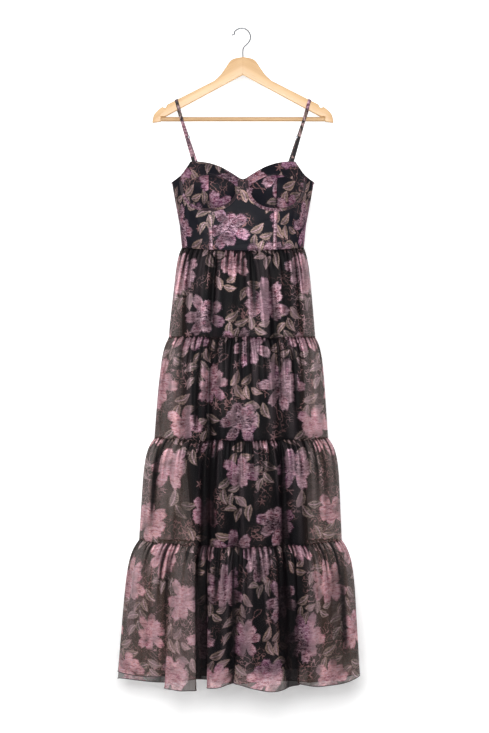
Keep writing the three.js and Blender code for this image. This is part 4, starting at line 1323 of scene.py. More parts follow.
ORGANZA = floral_material(
    "organza",
    PRINT_COLOURS,
    sheer=(0.74, 0.72),
    roughness=(0.5, 0.36),
    metal=(0.0, 0.25),
    slub=0.5,
    gloss=0.06,
)
BODICE_CLOTH = floral_material(
    "bodice_cloth", BODICE_COLOURS, sheer=None, roughness=(0.5, 0.38), metal=(0.0, 0.2), slub=0.4, gloss=0.07
)
CASING_CLOTH = floral_material(
    "casing_cloth", CASING_COLOURS, sheer=None, roughness=(0.45, 0.38), metal=(0.05, 0.2), slub=0.4, gloss=0.3
)
STRAP_CLOTH = floral_material(
    "strap_cloth", STRAP_COLOURS, sheer=None, roughness=(0.48, 0.4), metal=(0.0, 0.2), slub=0.4, gloss=0.3
)
LINING_CLOTH = woven_material("lining_cloth", (16, 16, 22), roughness=0.6, slub=0.5, sheen=0.0)
EDGE_CLOTH = woven_material("rolled_edge_cloth", (58, 46, 50), roughness=0.6, slub=0.8)
THREAD = woven_material("sewing_thread", (74, 58, 66), roughness=0.6, slub=0.6, threads=SEWING_THREADS)
TAPE_CLOTH = woven_material("zip_tape_cloth", (30, 28, 31), roughness=0.8, slub=0.6)
CHROME = metal_material("bright_metal", (126, 128, 132), roughness=0.24)
ARM_WOOD = wood_material("hanger_wood", pale=(230, 192, 143), dark=(196, 148, 96), is_arm=True)
BAR_WOOD = wood_material("bar_wood", pale=(212, 173, 125), dark=(164, 118, 72), is_arm=False)


# Skirt


def ellipse_angles(half, depth, shares):
    """Angles round half an ellipse at shares of its length, from its left end as seen from outside."""
    middles = math.pi * (np.arange(ELLIPSE_STEPS) + 0.5) / ELLIPSE_STEPS
    lengths = np.concatenate([[0], np.cumsum(np.hypot(half * np.sin(middles), depth * np.cos(middles)))])
    return np.interp(shares * lengths[-1], lengths, np.linspace(0, math.pi, ELLIPSE_STEPS + 1))


def ellipse_length(half, depth):
    """Length of half an ellipse, in millimetres."""
    middles = math.pi * (np.arange(ELLIPSE_STEPS) + 0.5) / ELLIPSE_STEPS
    return float(np.hypot(half * np.sin(middles), depth * np.cos(middles)).mean() * math.pi)


def seam_height(index, across, side):
    """Height of a seam, with the slight waver of its sewing."""
    z, lift = SEAMS[index][:2]
    waver = np.sin(LONG_WAVES * across + 2 * index + side)
    waver = waver + SHORT_WAVE_SHARE * np.sin(SHORT_WAVES * across + index)
    return z + lift * across**2 + SEAM_WAVE * waver * (1 - across**2)


def fold_shape(side, across, z):
    """Height of the large folds, and how far their flaps lean sideways."""
    down = np.clip((z - WAIST_Z) / (HEM_Z - WAIST_Z), 0, 1)
    height = np.zeros_like(across)
    lean = np.zeros_like(across)
    folds, flaps = (FRONT_FOLDS, FRONT_FLAPS) if side == FRONT else (BACK_FOLDS, BACK_FLAPS)
    for waist_at, hem_at, width, tall in folds:
        height += tall * np.exp(-(((across - lerp(waist_at, hem_at, down)) / width) ** 2))
    height *= down**FOLD_GROWTH
    for start, start_at, hem_at, facing, overlap, depth, width in flaps:
        share = np.clip((z - start) / (HEM_Z - start), 0, 1)
        at = lerp(start_at, hem_at, share)
        left = np.exp(-(((across - at + width) / width) ** 2)) * share**FLAP_GROWTH
        right = np.exp(-(((across - at - width) / width) ** 2)) * share**FLAP_GROWTH
        lean += overlap * (left - right)
        height += facing * depth / 2 * (left - right)
    calm = np.sqrt(np.clip(1 - across**2, 0, 1))
    return height * calm, lean * calm


def make_gathers(top_length, begin, end, seed):
    """Uneven gathers along a seam: place, drift, width, height and reach of each."""
    chance = np.random.default_rng(seed)
    count = max(FEWEST_GATHERS, round(top_length / GATHER_SPACING))
    step = (end - begin) / count
    at = begin + step * (np.arange(count) + 0.5 + chance.uniform(-GATHER_SHIFT, GATHER_SHIFT, count))
    drift = step * chance.normal(0, GATHER_DRIFT, count)
    width = step * GATHER_WIDTH * chance.uniform(*GATHER_WIDTHS, count)
    height = GATHER_HEIGHT * chance.uniform(*GATHER_HEIGHTS, count)
    reach = lerp(*GATHER_REACH, chance.uniform(0, 1, count) ** 2)
    return at, drift, width, height, reach


def gather_lift(shares, drop, gathers):
    """Height of the gathers, and how far each place is above or below their middle."""
    at, drift, width, height, reach = gathers
    rise = lerp(GATHER_AT_SEAM, 1, min(max(drop / GATHER_RISE, 0), 1))
    held = max(drop, 0)
    strength = height * np.exp(-((held / reach) ** GATHER_FADE))
    offset = (shares[:, None] - at - drift * held) / (width * (1 + held / GATHER_WIDEN))
    total = (np.exp(-(offset**2)) * strength).sum(axis=1)
    middle = MEAN_GATHER * strength.mean()
    return rise * (total - middle), total - middle


def scallop_drop(side, across):
    """How far the hem hangs below its even line, in scallops with a step at each fold."""
    total = np.zeros_like(across)
    scallops = FRONT_SCALLOPS if side == FRONT else BACK_SCALLOPS
    for start, end, left, middle, right in scallops:
        share = (across - start) / (end - start)
        curve = left * (1 - share) * (1 - 2 * share) + 4 * middle * share * (1 - share)
        curve += right * share * (2 * share - 1)
        total = np.where((across >= start) & (across <= end), curve, total)
    return total


def over_lining(x, z):
    """Whether the lining lies behind a place of the skirt, from 0 to 1."""
    beside = table_at(LINING, 2, z) - np.abs(x - table_at(LINING, 1, z))
    above = z - LINING[-1][0]
    return smooth(0.5 + np.minimum(beside, above) / LINED_EDGE)


def crease_lift(index, side, shares, down):
    """Height of a tier's shorter creases; the back has the front's in mirror image, set off a little."""
    total = np.zeros_like(shares)
    for share, start, end, drift, width, height in TIER_CREASES[index]:
        at = share if side == FRONT else 1 - BACK_CREASE_SHARE * share
        window = smooth((down - start) / CREASE_START) * smooth((end - down) / CREASE_END)
        total += height * window * np.exp(-(((shares - at - drift * down) / width) ** 2))
    return total


def tier_panel(index, side, begin, end, columns, rows, seed):
    """Points of one tier over a stretch of its front or back, and the same cloth laid flat."""
    puff, ease = TIERS[index][:2]
    top, bottom = SEAMS[index], SEAMS[index + 1]
    depth_at = 4 if side == FRONT else 5
    height = top[0] - bottom[0]
    is_hem = index == len(TIERS) - 1
    shares = np.linspace(begin, end, columns + 1)
    steps = np.linspace(0, 1, rows)
    downs = np.concatenate([[-TUCK / height], EVEN_ROWS * steps + CROWDED_ROWS * steps**2])
    gathers = make_gathers((end - begin) * ellipse_length(top[3], top[depth_at]), begin, end, seed)
    points = np.empty((rows + 1, columns + 1, 3))
    flat = np.empty((rows + 1, columns + 1, 2))
    tones = np.empty((rows + 1, columns + 1))
    for row, down in enumerate(downs):
        drop = down * height
        sewn = max(down, 0)
        swell = puff * (1 - math.exp(-max(drop, 0) / ease) - sewn)
        half = lerp(top[3], bottom[3], sewn) + swell
        depth = lerp(top[depth_at], bottom[depth_at], sewn) + swell * DEPTH_PUFF_SHARE
        angles = ellipse_angles(half, depth, shares)
        across = side * np.cos(angles)
        z = lerp(seam_height(index, across, side), seam_height(index + 1, across, side), down)
        fold, lean = fold_shape(side, across, z)
        gathered, contrast = gather_lift(shares, drop, gathers)
        crease = crease_lift(index, side, shares, sewn)
        lift = fold + gathered + crease
        # Tones below zero are hollows that get painted shade, tones above zero are ridges that get a painted
        # highlight, and the seams get painted shade.
        tones[row] = contrast / TONE_GATHER + crease / TONE_CREASE + np.minimum(fold, 0) / TONE_FOLD
        tones[row] -= SEAM_SHADE * math.exp(-((drop / SEAM_SHADE_LENGTH) ** 2))
        lift -= SEAM_PULL * math.exp(-abs(drop) / SEAM_PULL_LENGTH)
        if down < 0:
            lift -= TUCK_INSET
        if is_hem:
            z = z - scallop_drop(side, across) * sewn**SCALLOP_GROWTH
        else:
            tones[row] -= SEAM_SHADE * math.exp(-(((height - drop) / SEAM_SHADE_LENGTH) ** 2))
            lift -= SEAM_PULL * math.exp(-(height - drop) / SEAM_PULL_LENGTH)
        lift *= smooth(np.minimum(angles, math.pi - angles) / SIDE_CALM)
        normal = unit(np.stack([depth * np.cos(angles), half * np.sin(angles)], axis=1))
        tangent = unit(np.stack([-half * np.sin(angles), depth * np.cos(angles)], axis=1))
        spread = normal * lift[:, None] + tangent * -side * lean[:, None]
        points[row, :, 0] = lerp(top[2], bottom[2], sewn) + side * (half * np.cos(angles) + spread[:, 0])
        points[row, :, 1] = side * (depth * np.sin(angles) + spread[:, 1] + HALF_GAP)
        points[row, :, 2] = z
        flat[row, :, 1] = drop
    steps = np.linalg.norm(np.diff(points, axis=1), axis=-1)
    along = np.concatenate([np.zeros((rows + 1, 1)), np.cumsum(steps, axis=1)], axis=1)
    flat[..., 0] = along / along[:, -1:] * along[:, -1].max()
    return points, flat, tones


def sew_tier(index, label, side, begin=0.0, end=1.0):
    """One tier panel as a sheet of organza; returns its lowest row for the hem."""
    name = f"tier_{index + 1}_{label}"
    columns, rows = TIERS[index][2:4] if side == FRONT else TIERS[index][4:6]
    columns = round(columns * (end - begin))
    seed = GATHER_SEED + 7 * index + 3 * side + round(10 * begin)
    points, flat, tones = tier_panel(index, side, begin, end, columns, rows, seed)
    faces = sheet_faces(*points.shape[:2])
    lined = over_lining(points[..., 0], points[..., 2])
    fields = print_fields(name, flat)
    # Unlined places get the print painted warmer and paler as painted light shining through; lined, hollow
    # and ridge carry the painted shade over the lining and in the hollows and the painted highlight on the
    # ridges.
    fields["warmth"] = np.clip(lerp(fields["warmth"] + BACKLIT_WARMTH, fields["warmth"], lined), 0, 1)
    fields.update(lined=lined, hollow=np.clip(-tones, 0, 1), ridge=np.clip(tones, 0, 1))
    piece = make_piece(f"{name}_organza", points, faces, ORGANZA, flat, fields)
    settle(piece, [name])
    return points[-1]


hem_lines = {}
for tier in range(len(TIERS)):
    hem_lines[FRONT] = sew_tier(tier, "front", FRONT)
    if tier > 0:
        hem_lines[BACK] = sew_tier(tier, "back", BACK)
sew_tier(0, "back_right", BACK, 0.0, 0.5)
sew_tier(0, "back_left", BACK, 0.5, 1.0)


# Lining


def lining_panel(side, inset):
    shares = np.linspace(0, 1, LINING_COLUMNS + 1)
    heights = np.linspace(LINING[0][0], LINING[-1][0], LINING_ROWS + 1)
    points = np.empty((LINING_ROWS + 1, LINING_COLUMNS + 1, 3))
    for row, z in enumerate(heights):
        centre, half = table_at(LINING, 1, z), table_at(LINING, 2, z)
        depth = table_at(LINING, 3 if side == FRONT else 4, z)
        angles = ellipse_angles(half, depth, shares)
        across = side * np.cos(angles)
        normal = unit(np.stack([depth * np.cos(angles), half * np.sin(angles)], axis=1))
        ripple = np.cos(2 * math.pi * LINING_RIPPLES * shares) * np.sin(angles)
        lift = -LINING_RIPPLE * (1 - ripple) * row / LINING_ROWS - inset
        points[row, :, 0] = centre + side * (half * np.cos(angles) + normal[:, 0] * lift)
        points[row, :, 1] = side * (depth * np.sin(angles) + normal[:, 1] * lift + HALF_GAP)
        points[row, :, 2] = z + WAIST_LIFT * across**2 * (1 - row / LINING_ROWS) ** LINING_LIFT_FADE
    return points


for label, side in (("front", FRONT), ("back", BACK)):
    outer = lining_panel(side, 0.0)
    inner = lining_panel(side, LINING_WALL)
    faces = shell_faces(*outer.shape[:2])
    piece = make_piece(f"lining_{label}_cloth", np.stack([outer, inner]), faces, LINING_CLOTH)
    settle(piece, [f"lining_{label}"])


# Bodice


def cup_swell(x, z):
    sideways = np.abs(np.abs(x) - CUP_X) / WIRE_HALF
    down = np.maximum(0, WIRE_TOP_Z - z) / WIRE_DROP
    reach = sideways**WIRE_ROUNDNESS + down**WIRE_ROUNDNESS
    towards_top = lerp(1, CUP_TOP_SHARE, smooth((z - CUP_FULLEST_Z) / (CUP_TOP_Z - CUP_FULLEST_Z)))
    return CUP_SWELL * np.clip(1 - reach, 0, 1) ** CUP_EDGE * towards_top


def bodice_point(side, angle, z):
    """A point of the bodice at an angle from its middle (0) to the side seam (a quarter turn)."""
    x = table_at(BODICE, 1, z) * np.sin(angle)
    depth = table_at(BODICE, 2 if side == FRONT else 3, z) * np.cos(angle)
    swell = cup_swell(x, z) if side == FRONT else 0.0
    return np.stack([x, side * (depth + swell + HALF_GAP), np.broadcast_to(z, x.shape)], axis=-1)


def bodice_angle(x, z):
    return np.arcsin(np.clip(x / table_at(BODICE, 1, z), -1, 1))


def bodice_normal(side, angle, z):
    step = 0.02
    limit = math.pi / 2
    right = bodice_point(side, np.clip(angle + step, -limit, limit), z)
    left = bodice_point(side, np.clip(angle - step, -limit, limit), z)
    rise = bodice_point(side, angle, z + 1) - bodice_point(side, angle, z - 1)
    return unit(-side * np.cross(right - left, rise))


def on_front(x, z, lift):
    """A point of the front at x and z, moved out of the cloth."""
    x = np.asarray(x, float)
    z = np.asarray(z, float)
    point = bodice_point(FRONT, bodice_angle(x, z), z)
    point[..., 1] -= lift
    return point


def pressed_creases(x, z):
    total = np.zeros_like(x)
    for x0, z0, x1, z1, width, height in BODICE_CREASES:
        run = np.array([x1 - x0, z1 - z0], float)
        share = np.clip(((x - x0) * run[0] + (z - z0) * run[1]) / (run @ run), 0, 1)
        distance = np.hypot(x - x0 - share * run[0], z - z0 - share * run[1])
        total += height * np.exp(-((distance / width) ** 2))
    return total


def wire_point(turn, outset=0.0):
    """The wire's line from its inner top (0) through its lowest point to its outer top (a half turn)."""
    power = 2 / WIRE_ROUNDNESS
    sideways = np.sign(np.cos(turn)) * np.abs(np.cos(turn)) ** power
    x = CUP_X - (WIRE_HALF + outset) * sideways
    z = WIRE_TOP_Z - (WIRE_DROP + outset) * np.abs(np.sin(turn)) ** power
    return np.stack([x, z], axis=-1)


ARCH_INNER = wire_point(np.array(ARCH_TURN))
ARCH_OUTER = wire_point(np.array(math.pi - ARCH_TURN))


def arch_line(start, end, count):
    """The arched cup seam between two x, as x and z."""
    x = np.linspace(start, end, count)
    end_x = np.where(x < ARCH_X, ARCH_INNER[0], ARCH_OUTER[0])
    end_z = np.where(x < ARCH_X, ARCH_INNER[1], ARCH_OUTER[1])
    return np.stack([x, lerp(ARCH_Z, end_z, ((x - ARCH_X) / (end_x - ARCH_X)) ** 2)], axis=1)


def waist_line(start, end, count):
    """The waist seam between two x, carried out to the bodice's own width where it rises at the sides."""
    across = np.linspace(start, end, count) / WAIST_HALF
    z = WAIST_Z + WAIST_LIFT * across**2
    return np.stack([across * table_at(BODICE, 1, z), z], axis=1)


def edge_distances(grid):
    """Distance of each point from the left, right, upper and lower edge of its panel."""
    across = np.linalg.norm(np.diff(grid, axis=1), axis=-1)
    down = np.linalg.norm(np.diff(grid, axis=0), axis=-1)
    left = np.concatenate([np.zeros((len(grid), 1)), np.cumsum(across, axis=1)], axis=1)
    upper = np.concatenate([np.zeros((1, grid.shape[1])), np.cumsum(down, axis=0)], axis=0)
    return left, left[:, -1:] - left, upper, upper[-1:] - upper


def bodice_panel(name, side, upper, lower, rows, wall, grooves, is_left=False):
    """A bodice panel between two edges of x and z, as a wall of cloth with its seams drawn in."""
    share = np.linspace(0, 1, rows + 1)[:, None]
    z = lerp(upper[:, 1], lower[:, 1], share)
    angle = lerp(bodice_angle(*upper.T), bodice_angle(*lower.T), share)
    if is_left:
        z = z[:, ::-1]
        angle = -angle[:, ::-1]
        grooves = (grooves[1], grooves[0], *grooves[2:])
    outer = bodice_point(side, angle, z)
    normal = bodice_normal(side, angle, z)
    lift = np.zeros_like(z)
    if side == FRONT:
        lift += pressed_creases(outer[..., 0], z)
    for distance, is_sewn in zip(edge_distances(outer), grooves):
        if is_sewn:
            lift -= GROOVE_DEPTH * np.exp(-((distance / GROOVE_WIDTH) ** 2))
    outer = outer + normal * lift[..., None]
    inner = outer - normal * wall
    flat = np.stack([angle * table_at(BODICE, 1, z), -z], axis=-1)
    fields = print_fields(name, flat)
    both = {key: np.stack([value, value]) for key, value in fields.items()}
    faces = shell_faces(*outer.shape[:2])
    points = np.stack([outer, inner])
    piece = make_piece(f"{name}_cloth", points, faces, BODICE_CLOTH, np.stack([flat, flat]), both)
    settle(piece, [name])


def sew_pair(name, side, upper, lower, rows, wall, grooves):
    for label, is_left in (("right", False), ("left", True)):
        bodice_panel(f"{name}_{label}", side, upper, lower, rows, wall, grooves, is_left)


inner_turns = np.linspace(0, math.pi / 2, WIRE_STEPS)
gore = wire_point(inner_turns)
gore_left = gore[::-1] * np.array([-1, 1])
gore_tip = np.array([(-NECKLINE[1][0], NECKLINE[1][1]), NECKLINE[0], NECKLINE[1]], float)
centre_top = np.vstack([gore_left, gore_tip, gore])
centre_foot = waist_line(-PRINCESS_WAIST_X, PRINCESS_WAIST_X, len(centre_top))
centre_name = "bodice_centre_front"
bodice_panel(centre_name, FRONT, centre_top, centre_foot, CENTRE_ROWS, BODICE_WALL, SEWN_ALL_BUT_TOP)

outer_turns = np.linspace(math.pi / 2, math.pi, WIRE_STEPS)
underarm = resampled(ARMHOLE[CUP_ENDS_AT:], UNDERARM_STEPS)
side_top = np.vstack([wire_point(outer_turns), underarm])
side_foot = np.vstack([
    waist_line(PRINCESS_WAIST_X, UNDER_WIRE_END_X, WIRE_STEPS),
    waist_line(UNDER_WIRE_END_X, WAIST_HALF, UNDERARM_STEPS + 1)[1:],
])
sew_pair("bodice_side_front", FRONT, side_top, side_foot, SIDE_ROWS, BODICE_WALL, SEWN_ALL_BUT_TOP)

cup_top = resampled(NECKLINE[1:] + ARMHOLE[1:CUP_ENDS_AT + 1], CUP_COLUMNS)
cup_arch = np.vstack([
    arch_line(ARCH_INNER[0], ARCH_X, CUP_COLUMNS // 2),
    arch_line(ARCH_X, ARCH_OUTER[0], CUP_COLUMNS // 2 + 1)[1:],
])
sew_pair("cup_upper", FRONT, cup_top, cup_arch, CUP_ROWS, CUP_WALL, SEWN_BELOW)

cup_turns = np.linspace(ARCH_TURN, math.pi / 2, LOWER_COLUMNS)
under_inner = wire_point(cup_turns)
under_outer = wire_point(math.pi - cup_turns[::-1])
arch_inner = arch_line(ARCH_INNER[0], ARCH_X, LOWER_COLUMNS)
arch_outer = arch_line(ARCH_X, ARCH_OUTER[0], LOWER_COLUMNS)
sew_pair("cup_lower_inner", FRONT, arch_inner, under_inner, LOWER_ROWS, CUP_WALL, SEWN_ALL_ROUND)
sew_pair("cup_lower_outer", FRONT, arch_outer, under_outer, LOWER_ROWS, CUP_WALL, SEWN_ALL_ROUND)

back_share = np.linspace(0, 1, BACK_COLUMNS)
back_top = np.stack([
    lerp(UNDERARM_X, 0.0, back_share),
    UNDERARM_Z - BACK_DIP * np.sin(back_share * math.pi / 2),
], axis=1)
back_foot = waist_line(WAIST_HALF, 0.0, BACK_COLUMNS)
sew_pair("bodice_back", BACK, back_top, back_foot, BACK_ROWS, BODICE_WALL, SEWN_ALL_BUT_TOP)


# Casings


def sew_casing(name, middle, beside, half, edge, crown):
    """A rounded strip along a line of x and z; beside points towards the strip's right edge."""
    places = np.linspace(-1, 1, CASING_ACROSS)
    spots = middle[:, None, :] + beside[:, None, :] * (half * places)[None, :, None]
    lift = np.interp(places, (-1, 0, 1), CASING_LIFTS)
    along = np.concatenate([[0], np.cumsum(np.linalg.norm(np.diff(middle, axis=0), axis=1))])
    flat = np.stack(np.broadcast_arrays(half * places[None, :], along[:, None]), axis=-1)
    crowned = crown * (1 - np.abs(places) ** CASING_ROUNDNESS)
    outer = on_front(spots[..., 0], spots[..., 1], lift + edge + crowned)
    inner = on_front(spots[..., 0], spots[..., 1], lift - CASING_SUNK)
    faces = shell_faces(*outer.shape[:2])
    for label, is_left in (("right", False), ("left", True)):
        full = f"{name}_{label}"
        shown = np.stack([outer, inner])
        laid = np.stack([flat, flat])
        if is_left:
            shown = (shown * MIRROR)[:, :, ::-1]
            laid = laid[:, :, ::-1]
        fields = print_fields(full, laid)
        piece = make_piece(f"{full}_cloth", shown, faces, CASING_CLOTH, laid, fields)
        settle(piece, [full])


casing_turns = np.linspace(WIRE_END_TURN, math.pi - WIRE_END_TURN, WIRE_CASING_STEPS)
wire_middle = wire_point(casing_turns)
wire_run = unit(wire_point(casing_turns + SMALL_TURN) - wire_point(casing_turns - SMALL_TURN))
wire_beside = np.stack([-wire_run[:, 1], wire_run[:, 0]], axis=1)
sew_casing("wire_casing", wire_middle, wire_beside, *WIRE_CASING)

bone_foot = waist_line(PRINCESS_WAIST_X, PRINCESS_WAIST_X, 1)[0]
bone_middle = resampled([(CUP_X, BONE_TOP_Z), bone_foot], BONE_CASING_STEPS)
bone_beside = np.broadcast_to(np.array([1.0, 0.0]), bone_middle.shape)
sew_casing("bone_casing", bone_middle, bone_beside, *BONE_CASING)


# Straps


def arm_top(x):
    return ARM_START_Z - ARM_SLOPE * (x - ARM_START_X)


def strap_lines():
    """Stations of the right strap and of its tab: a place and the direction across the ribbon."""
    face_y = -HANGER_THICK / 2 - STRAP_LIFT
    top = arm_top(STRAP_X_ON_HANGER)
    across_arm = unit(np.array([1, 0, -ARM_SLOPE]))
    edge_z = NECKLINE[-1][1]
    slant = (STRAP_X_ON_HANGER - STRAP_X_ON_CUP) / (top - edge_z)
    across_front = unit(np.array([1, 0, -slant]))

    def inside(side, x, z, wall, layer=0):
        angle = bodice_angle(np.array(x, float), np.array(z, float))
        depth = wall + FACET_SAG + STRAP_THICK / 2 + layer * (STRAP_THICK + SEAM_GAP)
        normal = bodice_normal(side, angle, np.array(z, float))
        return bodice_point(side, angle, np.array(z, float)) - normal * depth

    back_start = np.array([STRAP_X_ON_HANGER, -face_y, top - STRAP_ON_ARM])
    ring_angle = bodice_angle(STRAP_X_ON_RING - RING_INSET, UNDERARM_Z)
    ring_y = table_at(BODICE, 3, UNDERARM_Z) * math.cos(ring_angle) - RING_INSET + RING_PROUD
    ring_turn = np.array([STRAP_X_ON_RING, ring_y, RING_Z])
    run = unit(ring_turn - back_start)
    across_back = unit(np.array([-run[2], 0, run[0]]))
    out = unit(np.cross(across_back, run))

    def strand(z, outwards):
        share = (z - back_start[2]) / (ring_turn[2] - back_start[2])
        return lerp(back_start, ring_turn, share) + out * outwards, across_back

    half = STRAND_SPACING / 2
    close = (STRAP_THICK + SEAM_GAP) / 2
    front_foot = np.array([STRAP_X_ON_HANGER - STRAP_ON_ARM * slant, face_y, top - STRAP_ON_ARM])
    sewn_x = STRAP_X_ON_CUP - slant * STRAP_SEWN_DEPTH
    strap = [
        (inside(FRONT, sewn_x, edge_z - STRAP_SEWN_DEPTH, CUP_WALL), across_front),
        (inside(FRONT, STRAP_X_ON_CUP, edge_z + STRAP_CORNER, CUP_WALL), across_front),
        (front_foot, across_front),
        (np.array([STRAP_X_ON_HANGER, face_y, top - STRAP_CORNER]), across_arm),
        (np.array([STRAP_X_ON_HANGER, face_y + STRAP_CORNER, top + STRAP_LIFT]), across_arm),
        (np.array([STRAP_X_ON_HANGER, -face_y - STRAP_CORNER, top + STRAP_LIFT]), across_arm),
        (np.array([STRAP_X_ON_HANGER, -face_y, top - STRAP_CORNER]), across_arm),
        (back_start, across_back),
        strand(SLIDER_Z + SLIDER_TALL, close),
        strand(SLIDER_Z - SLIDER_TALL, close),
        strand(SLIDER_Z - STRANDS_SPREAD, half),
        *[strand(RING_Z - past, share * half) for past, share in TURN_ROUND_BAR],
        strand(SLIDER_Z - STRANDS_SPREAD, -half),
        strand(SLIDER_Z - SLIDER_TALL, -close),
        strand(SLIDER_Z + SLIDER_TALL / 2, -close),
    ]
    reach = (RING_TALL - RING_BAR) / 2
    tab_turn = ring_turn + run * 2 * reach
    edge = UNDERARM_Z - BACK_DIP
    tab = [
        (inside(BACK, tab_turn[0] - TAB_LEAN, TAB_SEWN_Z, BODICE_WALL, 1), -across_back),
        (inside(BACK, tab_turn[0] - TAB_LEAN / 2, edge, BODICE_WALL, 1), -across_back),
        *[(tab_turn - run * past - out * share * half, -across_back) for past, share in TURN_ROUND_BAR],
        (inside(BACK, tab_turn[0] - TAB_LEAN / 2, edge, BODICE_WALL), -across_back),
        (inside(BACK, tab_turn[0] - TAB_LEAN, TAB_SEWN_Z, BODICE_WALL), -across_back),
    ]
    return strap, tab


def ribbon(stations):
    """Upper and lower points of a folded ribbon along stations, and its flat cloth."""
    places = np.array([place for place, _ in stations])
    acrosses = np.array([across for _, across in stations])
    along = np.concatenate([[0], np.cumsum(np.linalg.norm(np.diff(places, axis=0), axis=1))])
    steps = np.union1d(along, np.arange(0, along[-1], STRAP_STEP))
    line = np.stack([np.interp(steps, along, places[:, i]) for i in range(3)], axis=1)
    across = np.stack([np.interp(steps, along, acrosses[:, i]) for i in range(3)], axis=1)
    run = unit(np.gradient(line, axis=0))
    across = unit(across - run * (across * run).sum(axis=1, keepdims=True))
    out = np.cross(run, across)
    shares = np.linspace(-1, 1, RIBBON_ACROSS)
    body = line[:, None] + across[:, None] * (shares * STRAP_WIDTH / 2)[None, :, None]
    half = STRAP_THICK / 2 * (1 - RIBBON_CROWN * shares**4)
    upper = body + out[:, None] * half[None, :, None]
    lower = body - out[:, None] * half[None, :, None]
    flat = np.stack(np.broadcast_arrays(shares[None, :] * STRAP_WIDTH / 2, steps[:, None]), axis=-1)
    return upper, lower, flat


def sew_ribbon(name, stations, is_left):
    """A strap or tab along its stations; returns the two lines of its edge stitching."""
    if is_left:
        stations = [(place * MIRROR, -across * MIRROR) for place, across in stations]
    upper, lower, flat = ribbon(stations)
    laid = np.stack([flat, flat])
    faces = shell_faces(*upper.shape[:2])
    points = np.stack([upper, lower])
    piece = make_piece(f"{name}_cloth", points, faces, STRAP_CLOTH, laid, print_fields(name, laid))
    settle(piece, [name])
    return [upper[:, 1], upper[:, -2]]


strap_stations, tab_stations = strap_lines()
strap_edges = []
for label, is_left in (("right", False), ("left", True)):
    strap_edges += sew_ribbon(f"strap_{label}", strap_stations, is_left)
    sew_ribbon(f"strap_tab_{label}", tab_stations, is_left)


# Geometry Nodes: tubes along lines, and stitches along lines


def geometry_group(name, sizes):
    """A geometry tree that takes a curve, named sizes and a material."""
    tree = bpy.data.node_groups.new(name, "GeometryNodeTree")
    tree.interface.new_socket("Geometry", in_out="INPUT", socket_type="NodeSocketGeometry")
    for size in sizes:
        tree.interface.new_socket(size, in_out="INPUT", socket_type="NodeSocketFloat")
    tree.interface.new_socket("Material", in_out="INPUT", socket_type="NodeSocketMaterial")
    tree.interface.new_socket("Geometry", in_out="OUTPUT", socket_type="NodeSocketGeometry")
    return tree, tree.nodes.new("NodeGroupInput").outputs, tree.nodes.new("NodeGroupOutput").inputs


def finish_geometry(tree, geometry, given, put):
    realized = node(tree, "GeometryNodeRealizeInstances", {0: geometry}).outputs[0]
    inputs = {"Geometry": realized, "Material": given["Material"]}
    tree.links.new(node(tree, "GeometryNodeSetMaterial", inputs).outputs[0], put[0])
    return tree


def rolled_edge_tree():
    """A round cord of cloth or wire along each line."""
    tree, given, put = geometry_group("rolled_edge", ["Radius"])
    sizes = {"Resolution": CORD_SIDES, "Radius": given["Radius"]}
    circle = node(tree, "GeometryNodeCurvePrimitiveCircle", sizes)
    inputs = {"Curve": given["Geometry"], "Profile Curve": circle.outputs[0], "Fill Caps": True}
    tube = node(tree, "GeometryNodeCurveToMesh", inputs).outputs[0]
    round_off = node(tree, "GeometryNodeSetShadeSmooth", {"Geometry": tube}).outputs[0]
    return finish_geometry(tree, round_off, given, put)


def stitch_row_tree():
    """Short threads set at an even pitch along each line."""
    tree, given, put = geometry_group("stitch_row", ["Pitch", "Length", "Radius"])
    inputs = {"Curve": given["Geometry"], "Length": given["Pitch"]}
    spots = node(tree, "GeometryNodeCurveToPoints", inputs, mode="LENGTH").outputs
    sizes = {"Vertices": STITCH_SIDES, "Side Segments": 1}
    sizes |= {"Radius": given["Radius"], "Depth": given["Length"]}
    thread = node(tree, "GeometryNodeMeshCylinder", sizes).outputs["Mesh"]
    run = {"Vector": spots["Tangent"]}
    turned_along = node(tree, "FunctionNodeAlignRotationToVector", run, axis="Z").outputs[0]
    places = {"Points": spots["Points"], "Instance": thread, "Rotation": turned_along}
    row = node(tree, "GeometryNodeInstanceOnPoints", places).outputs[0]
    return finish_geometry(tree, row, given, put)


ROLLED_EDGE = rolled_edge_tree()
STITCH_ROW = stitch_row_tree()


def run_along(name, lines, tree, sizes, look):
    """Runs a geometry tree along lines in millimetres and keeps the result as a plain mesh piece."""
    curve = bpy.data.curves.new(f"{name}_line", "CURVE")
    curve.dimensions = "3D"
    for line in lines:
        stretch = curve.splines.new("POLY")
        stretch.points.add(len(line) - 1)
        places = np.concatenate([np.asarray(line) * MM, np.ones((len(line), 1))], axis=1)
        stretch.points.foreach_set("co", places.astype(np.float32).ravel())
    guide = put_in_scene(f"{name}_line", curve)
    modifier = guide.modifiers.new("sewing", "NODES")
    modifier.node_group = tree
    wanted = {**{size: value * MM for size, value in sizes.items()}, "Material": look}
    for item in tree.interface.items_tree:
        if item.in_out == "INPUT" and item.name in wanted:
            modifier[item.identifier] = wanted[item.name]
    return as_plain_piece(guide, name)


def both_sides(points):
    return [points, points * MIRROR]


hem = run_along(
    "rolled_hem",
    [hem_lines[FRONT], hem_lines[BACK]],
    ROLLED_EDGE,
    {"Radius": HEM_RADIUS},
    EDGE_CLOTH,
)
settle(hem, [])

neck_line = np.array(NECKLINE + ARMHOLE[1:], float)
neck_points = resampled(neck_line, NECK_STEPS)
neck_edge = on_front(neck_points[:, 0], neck_points[:, 1], -CUP_WALL / 2)
back_edge_points = bodice_point(BACK, bodice_angle(*back_top.T), back_top[:, 1])
back_edge_points[:, 1] -= BODICE_WALL / 2
neck_roll = run_along(
    "neck_edge",
    both_sides(neck_edge) + both_sides(back_edge_points),
    ROLLED_EDGE,
    {"Radius": NECK_EDGE_RADIUS},
    EDGE_CLOTH,
)
settle(neck_roll, [])

